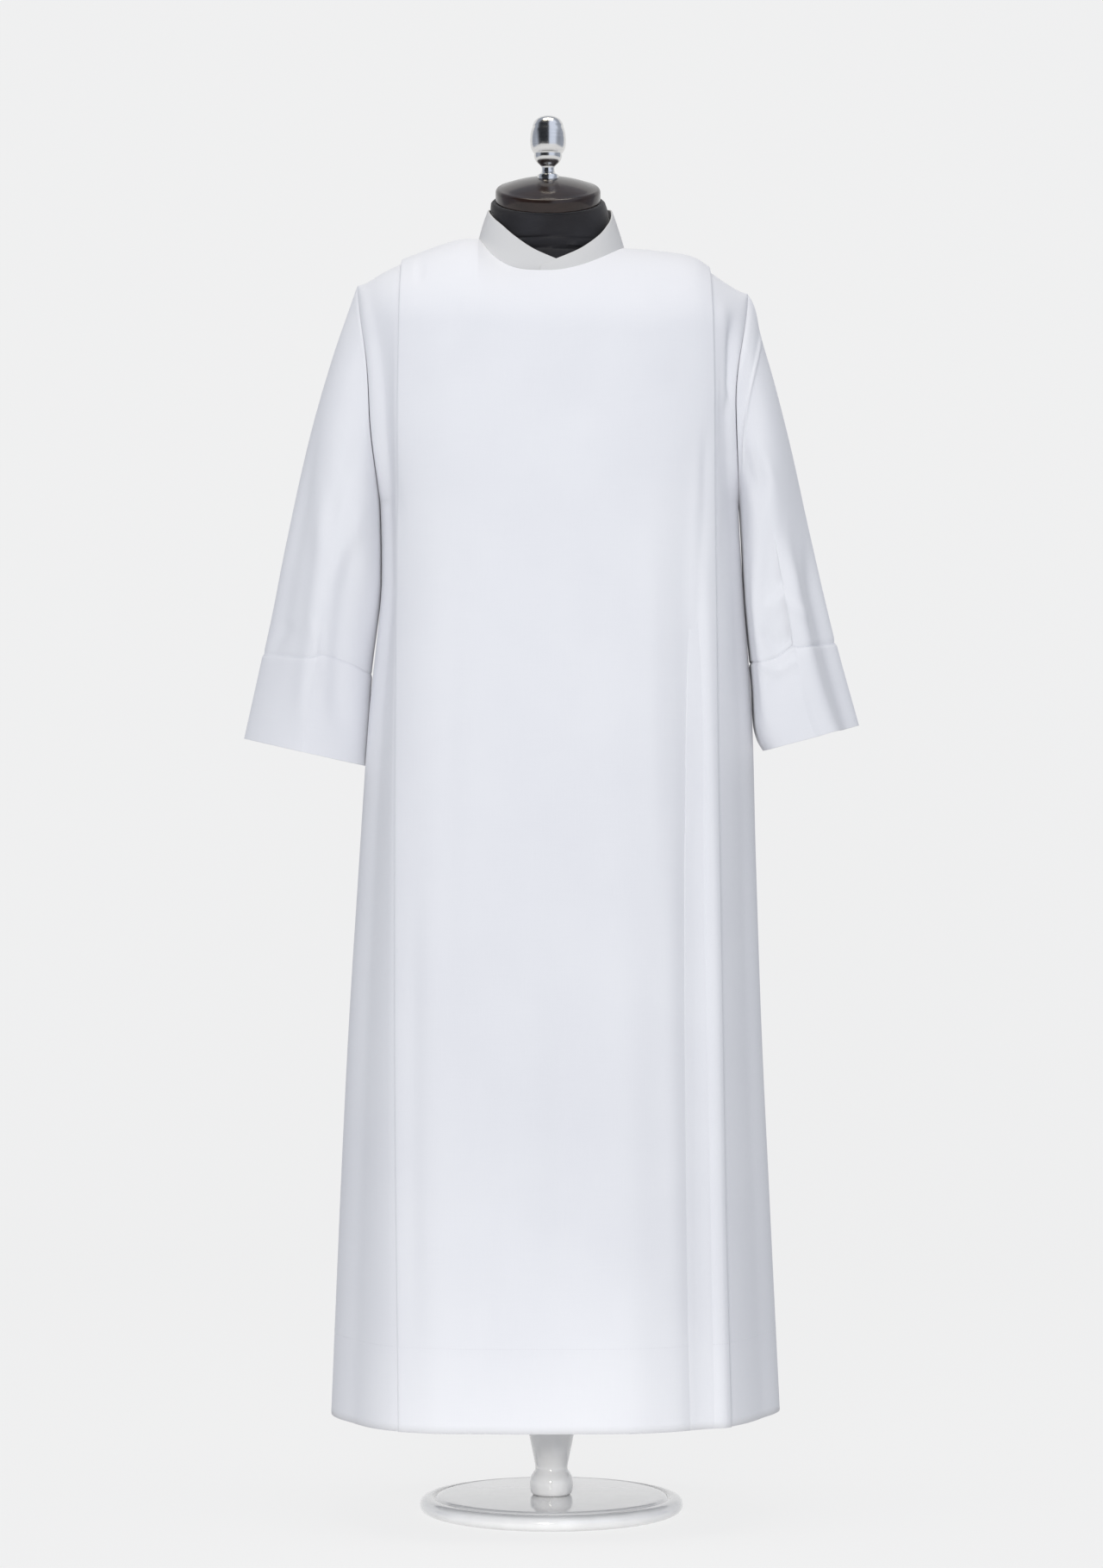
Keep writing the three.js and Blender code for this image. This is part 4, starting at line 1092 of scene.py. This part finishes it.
# the weave on the sheet's own UV map and the mottling on object places
def wovenBase(nodes, links, count, slub, scale):
    uv = nodes.new("ShaderNodeUVMap")
    uv.uv_map = "cloth"
    threads = useGroup(nodes, weave, {"Threads": count, "Slub": slub})
    links.new(uv.outputs[0], threads.inputs["Vector"])
    cloud = useGroup(nodes, mottle, {"Scale": scale})
    links.new(objectPlace(nodes), cloud.inputs["Vector"])
    return threads, cloud


def clothMaterial(name, look):
    material, nodes, links, shader = newMaterial(name)
    threads, cloud = wovenBase(nodes, links, look["threads"], look["slub"], look["cloud"])
    tone = mathNode(nodes, links, "MULTIPLY_ADD", cloud.outputs[0], 0.45, mathNode(
        nodes, links, "MULTIPLY", threads.outputs["Shade"], 0.55))
    colourAndRoughness(nodes, links, shader, tone, look["shade"], look["light"], look["roughness"],
                       threads.outputs["Shade"])
    addBump(nodes, links, shader, threads.outputs["Height"], look["bump"], 0.0002)
    setInputs(shader, Sheen_Weight=look["sheen"], Sheen_Roughness=0.4, Specular_IOR_Level=0.25)
    return material


clothLook = {"threads": 1500.0, "slub": 0.5, "cloud": 5.0, "bump": 0.35, "sheen": 0.12, "roughness": (0.78, 0.92),
             "shade": (0.80, 0.805, 0.84), "light": (0.865, 0.87, 0.895)}
clothBody = clothMaterial("albCloth", clothLook)
# the collar is the alb's own cloth made darker and greyer: painted shade of the upright band, which takes less light
# than the shoulders
shadedCollarCloth = clothMaterial("collarClothPaintedShade", dict(clothLook, shade=(0.615, 0.615, 0.615), light=(0.675, 0.675, 0.675)))


def threadMaterial():
    material, nodes, links, shader = newMaterial("sewingThread")
    twist = nodes.new("ShaderNodeTexWave")
    twist.wave_type = "BANDS"
    twist.bands_direction = "DIAGONAL"
    twist.inputs["Scale"].default_value = 900
    links.new(objectPlace(nodes), twist.inputs["Vector"])
    colourAndRoughness(nodes, links, shader, twist.outputs["Fac"], (0.70, 0.70, 0.75), (0.82, 0.82, 0.85), (0.45, 0.6))
    shader.inputs["Sheen Weight"].default_value = 0.1
    return material


def knitMaterial():
    material, nodes, links, shader = newMaterial("blackJersey")
    threads, cloud = wovenBase(nodes, links, 900.0, 0.8, 14.0)
    colourAndRoughness(nodes, links, shader, cloud.outputs[0], (0.016, 0.015, 0.017), (0.030, 0.030, 0.034),
                       (0.72, 0.92), threads.outputs["Shade"])
    addBump(nodes, links, shader, threads.outputs["Height"], 0.5, 0.0004)
    setInputs(shader, Sheen_Weight=0.25, Sheen_Roughness=0.35, Specular_IOR_Level=0.3)
    return material


def woodMaterial():
    material, nodes, links, shader = newMaterial("darkVarnishedWood")
    grain = noiseNode(nodes, links, stretched(nodes, links, objectPlace(nodes), (18, 120, 120)), 1, 6, 0.6)
    colourAndRoughness(nodes, links, shader, grain, (0.007, 0.0045, 0.004), (0.036, 0.020, 0.016), (0.28, 0.4))
    addBump(nodes, links, shader, grain, 0.12, 0.0003)
    setInputs(shader, Specular_IOR_Level=0.1, Coat_Weight=0.7, Coat_Roughness=0.13)
    return material


def chromeMaterial():
    material, nodes, links, shader = newMaterial("turnedChrome")
    rings = noiseNode(nodes, links, stretched(nodes, links, objectPlace(nodes), (30, 30, 900)))
    colourAndRoughness(nodes, links, shader, rings, (0.66, 0.66, 0.65), (0.84, 0.83, 0.82), (0.16, 0.26))
    shader.inputs["Metallic"].default_value = 1
    return material


def paintMaterial(name, low, high, roughness, metallic=0.0):
    material, nodes, links, shader = newMaterial(name)
    place = objectPlace(nodes)
    cloud = useGroup(nodes, mottle, {"Scale": 22.0})
    links.new(place, cloud.inputs["Vector"])
    peel = noiseNode(nodes, links, place, 420)
    colourAndRoughness(nodes, links, shader, cloud.outputs[0], low, high, roughness)
    addBump(nodes, links, shader, peel, 0.08, 0.0003)
    setInputs(shader, Metallic=metallic, Coat_Weight=1.0, Coat_Roughness=0.1)
    return material


def dress(piece, material):
    piece.data.materials.clear()
    piece.data.materials.append(material)


thread = threadMaterial()
for piece in (frontPiece, backPiece, leftSleeve, rightSleeve):
    dress(piece, clothBody)
dress(collarPiece, shadedCollarCloth)
for piece in stitches.values():
    dress(piece, thread)
dress(formPiece, knitMaterial())
dress(capPiece, woodMaterial())
dress(finialPiece, chromeMaterial())
standPaint = paintMaterial("paleGreyPaint", (0.80, 0.80, 0.80), (0.88, 0.88, 0.88), (0.08, 0.14))
dress(basePiece, standPaint)
dress(postPiece, standPaint)
dress(polePiece, paintMaterial("satinSteel", (0.50, 0.50, 0.51), (0.62, 0.62, 0.63), (0.26, 0.38), metallic=1.0))
print("scene: materials done")


studio = {"floorSize": 14, "wallBack": 4.5, "wallHeight": 7, "curve": 1.6, "glowSeen": 0.8, "glowLight": 0.52}


def buildStudio():
    bm = bmesh.new()
    half = studio["floorSize"] / 2
    back, curve, top = studio["wallBack"], studio["curve"], studio["wallHeight"]
    profile = [(-half, 0), (back - curve, 0)]
    for i in range(1, 17):
        turn = i / 16 * math.pi / 2
        profile.append((back - curve + curve * math.sin(turn), curve - curve * math.cos(turn)))
    profile.append((back, top))
    verts = [bm.verts.new((-half, y, z)) for y, z in profile]
    edges = [bm.edges.new(pair) for pair in zip(verts[:-1], verts[1:])]
    made = bmesh.ops.extrude_edge_only(bm, edges=edges)
    moved = [item for item in made["geom"] if isinstance(item, bmesh.types.BMVert)]
    bmesh.ops.translate(bm, verts=moved, vec=(2 * half, 0, 0))
    bm.normal_update()
    bm.faces.ensure_lookup_table()
    if bm.faces[0].normal.z < 0:
        bmesh.ops.reverse_faces(bm, faces=bm.faces)
    smoothFaces(bm)
    mesh = meshOf(bm, "studio_sweep")
    sweep = bpy.data.objects.new("studio_sweep", mesh)
    bpy.context.collection.objects.link(sweep)
    material, nodes, links, shader = newMaterial("sweepPaper")
    setInputs(shader, Base_Color=(0.1, 0.1, 0.1, 1), Roughness=1, Specular_IOR_Level=0, Emission_Color=(1, 1, 1, 1))
    seen = nodes.new("ShaderNodeLightPath")  # the paper lights the cloth less than it shows
    either = mathNode(nodes, links, "MAXIMUM", seen.outputs["Is Camera Ray"], seen.outputs["Is Glossy Ray"])
    glow = ranged(nodes, links, either, studio["glowLight"], studio["glowSeen"])
    links.new(glow, shader.inputs["Emission Strength"])
    behind = mathNode(nodes, links, "MULTIPLY", nodes.new("ShaderNodeNewGeometry").outputs["Backfacing"],
                      seen.outputs["Is Camera Ray"])  # a camera behind the paper sees through it
    links.new(mathNode(nodes, links, "SUBTRACT", 1, behind), shader.inputs["Alpha"])
    mesh.materials.append(material)


buildStudio()


def aimLamp(data, place, target):
    lamp = bpy.data.objects.new(data.name, data)
    lamp.location = place
    lamp.rotation_euler = (Vector(target) - Vector(place)).to_track_quat("-Z", "Y").to_euler()
    bpy.context.collection.objects.link(lamp)
    return lamp


def areaLight(name, place, target, size, power, colour=(1, 1, 1)):
    data = bpy.data.lights.new(name, "AREA")
    data.shape = "RECTANGLE"
    data.size, data.size_y = size
    data.energy = power
    data.color = colour
    return aimLamp(data, place, target)


areaLight("overhead", (0, -0.3, 4.4), (0, 0, 1.2), (2.2, 1.0), 40, (1.0, 0.93, 0.8))
key = areaLight("key", (-0.5, -8.2, 2.2), (0, 0, 0.8), (3.4, 2.6), 316, (1.0, 0.99, 0.975))
key.visible_glossy = False

spot = bpy.data.lights.new("baseLight", "SPOT")
spot.energy = 185
spot.color = (1.0, 0.96, 0.88)
spot.spot_size = math.radians(10)
spot.spot_blend = 1
spot.shadow_soft_size = 0.25
aimLamp(spot, (-0.4, -3.8, 0.95), (0, -0.05, -0.1))

world = bpy.data.worlds.new("studioAir")
bpy.context.scene.world = world
world.use_nodes = True
air, airLinks = world.node_tree.nodes, world.node_tree.links
air["Background"].inputs["Color"].default_value = (0.78, 0.85, 1.0, 1)
airSeen = air.new("ShaderNodeLightPath")
airGlow = ranged(air, airLinks, airSeen.outputs["Is Camera Ray"], 0.46, 0.87)
roomPlace = air.new("ShaderNodeTexCoord")  # a dark bay beside the camera and a bright one shine in the chrome
roomWay = air.new("ShaderNodeSeparateXYZ")
airLinks.new(roomPlace.outputs["Generated"], roomWay.inputs[0])
roomBays = air.new("ShaderNodeValToRGB")
for place, tone in ((0.02, 0.55), (0.08, 0.03), (0.535, 0.03), (0.585, 1.0), (0.86, 1.0), (0.95, 0.4)):
    stop = roomBays.color_ramp.elements.new(place)
    stop.color = (tone, tone, tone, 1)
for end in (0, -1):
    roomBays.color_ramp.elements.remove(roomBays.color_ramp.elements[end])
airLinks.new(mathNode(air, airLinks, "MULTIPLY_ADD", roomWay.outputs[0], 0.5, 0.5), roomBays.inputs[0])
roomFront = mathNode(air, airLinks, "LESS_THAN", roomWay.outputs[1], -0.05)
shines = mathNode(air, airLinks, "MULTIPLY", airSeen.outputs["Is Glossy Ray"], roomFront)
roomMix = air.new("ShaderNodeMix")
airLinks.new(shines, roomMix.inputs[0])
airLinks.new(airGlow, roomMix.inputs[2])
airLinks.new(roomBays.outputs[0], roomMix.inputs[3])
airLinks.new(roomMix.outputs[0], air["Background"].inputs["Strength"])
bpy.context.scene.view_settings.view_transform = "Standard"

print("scene: studio done")
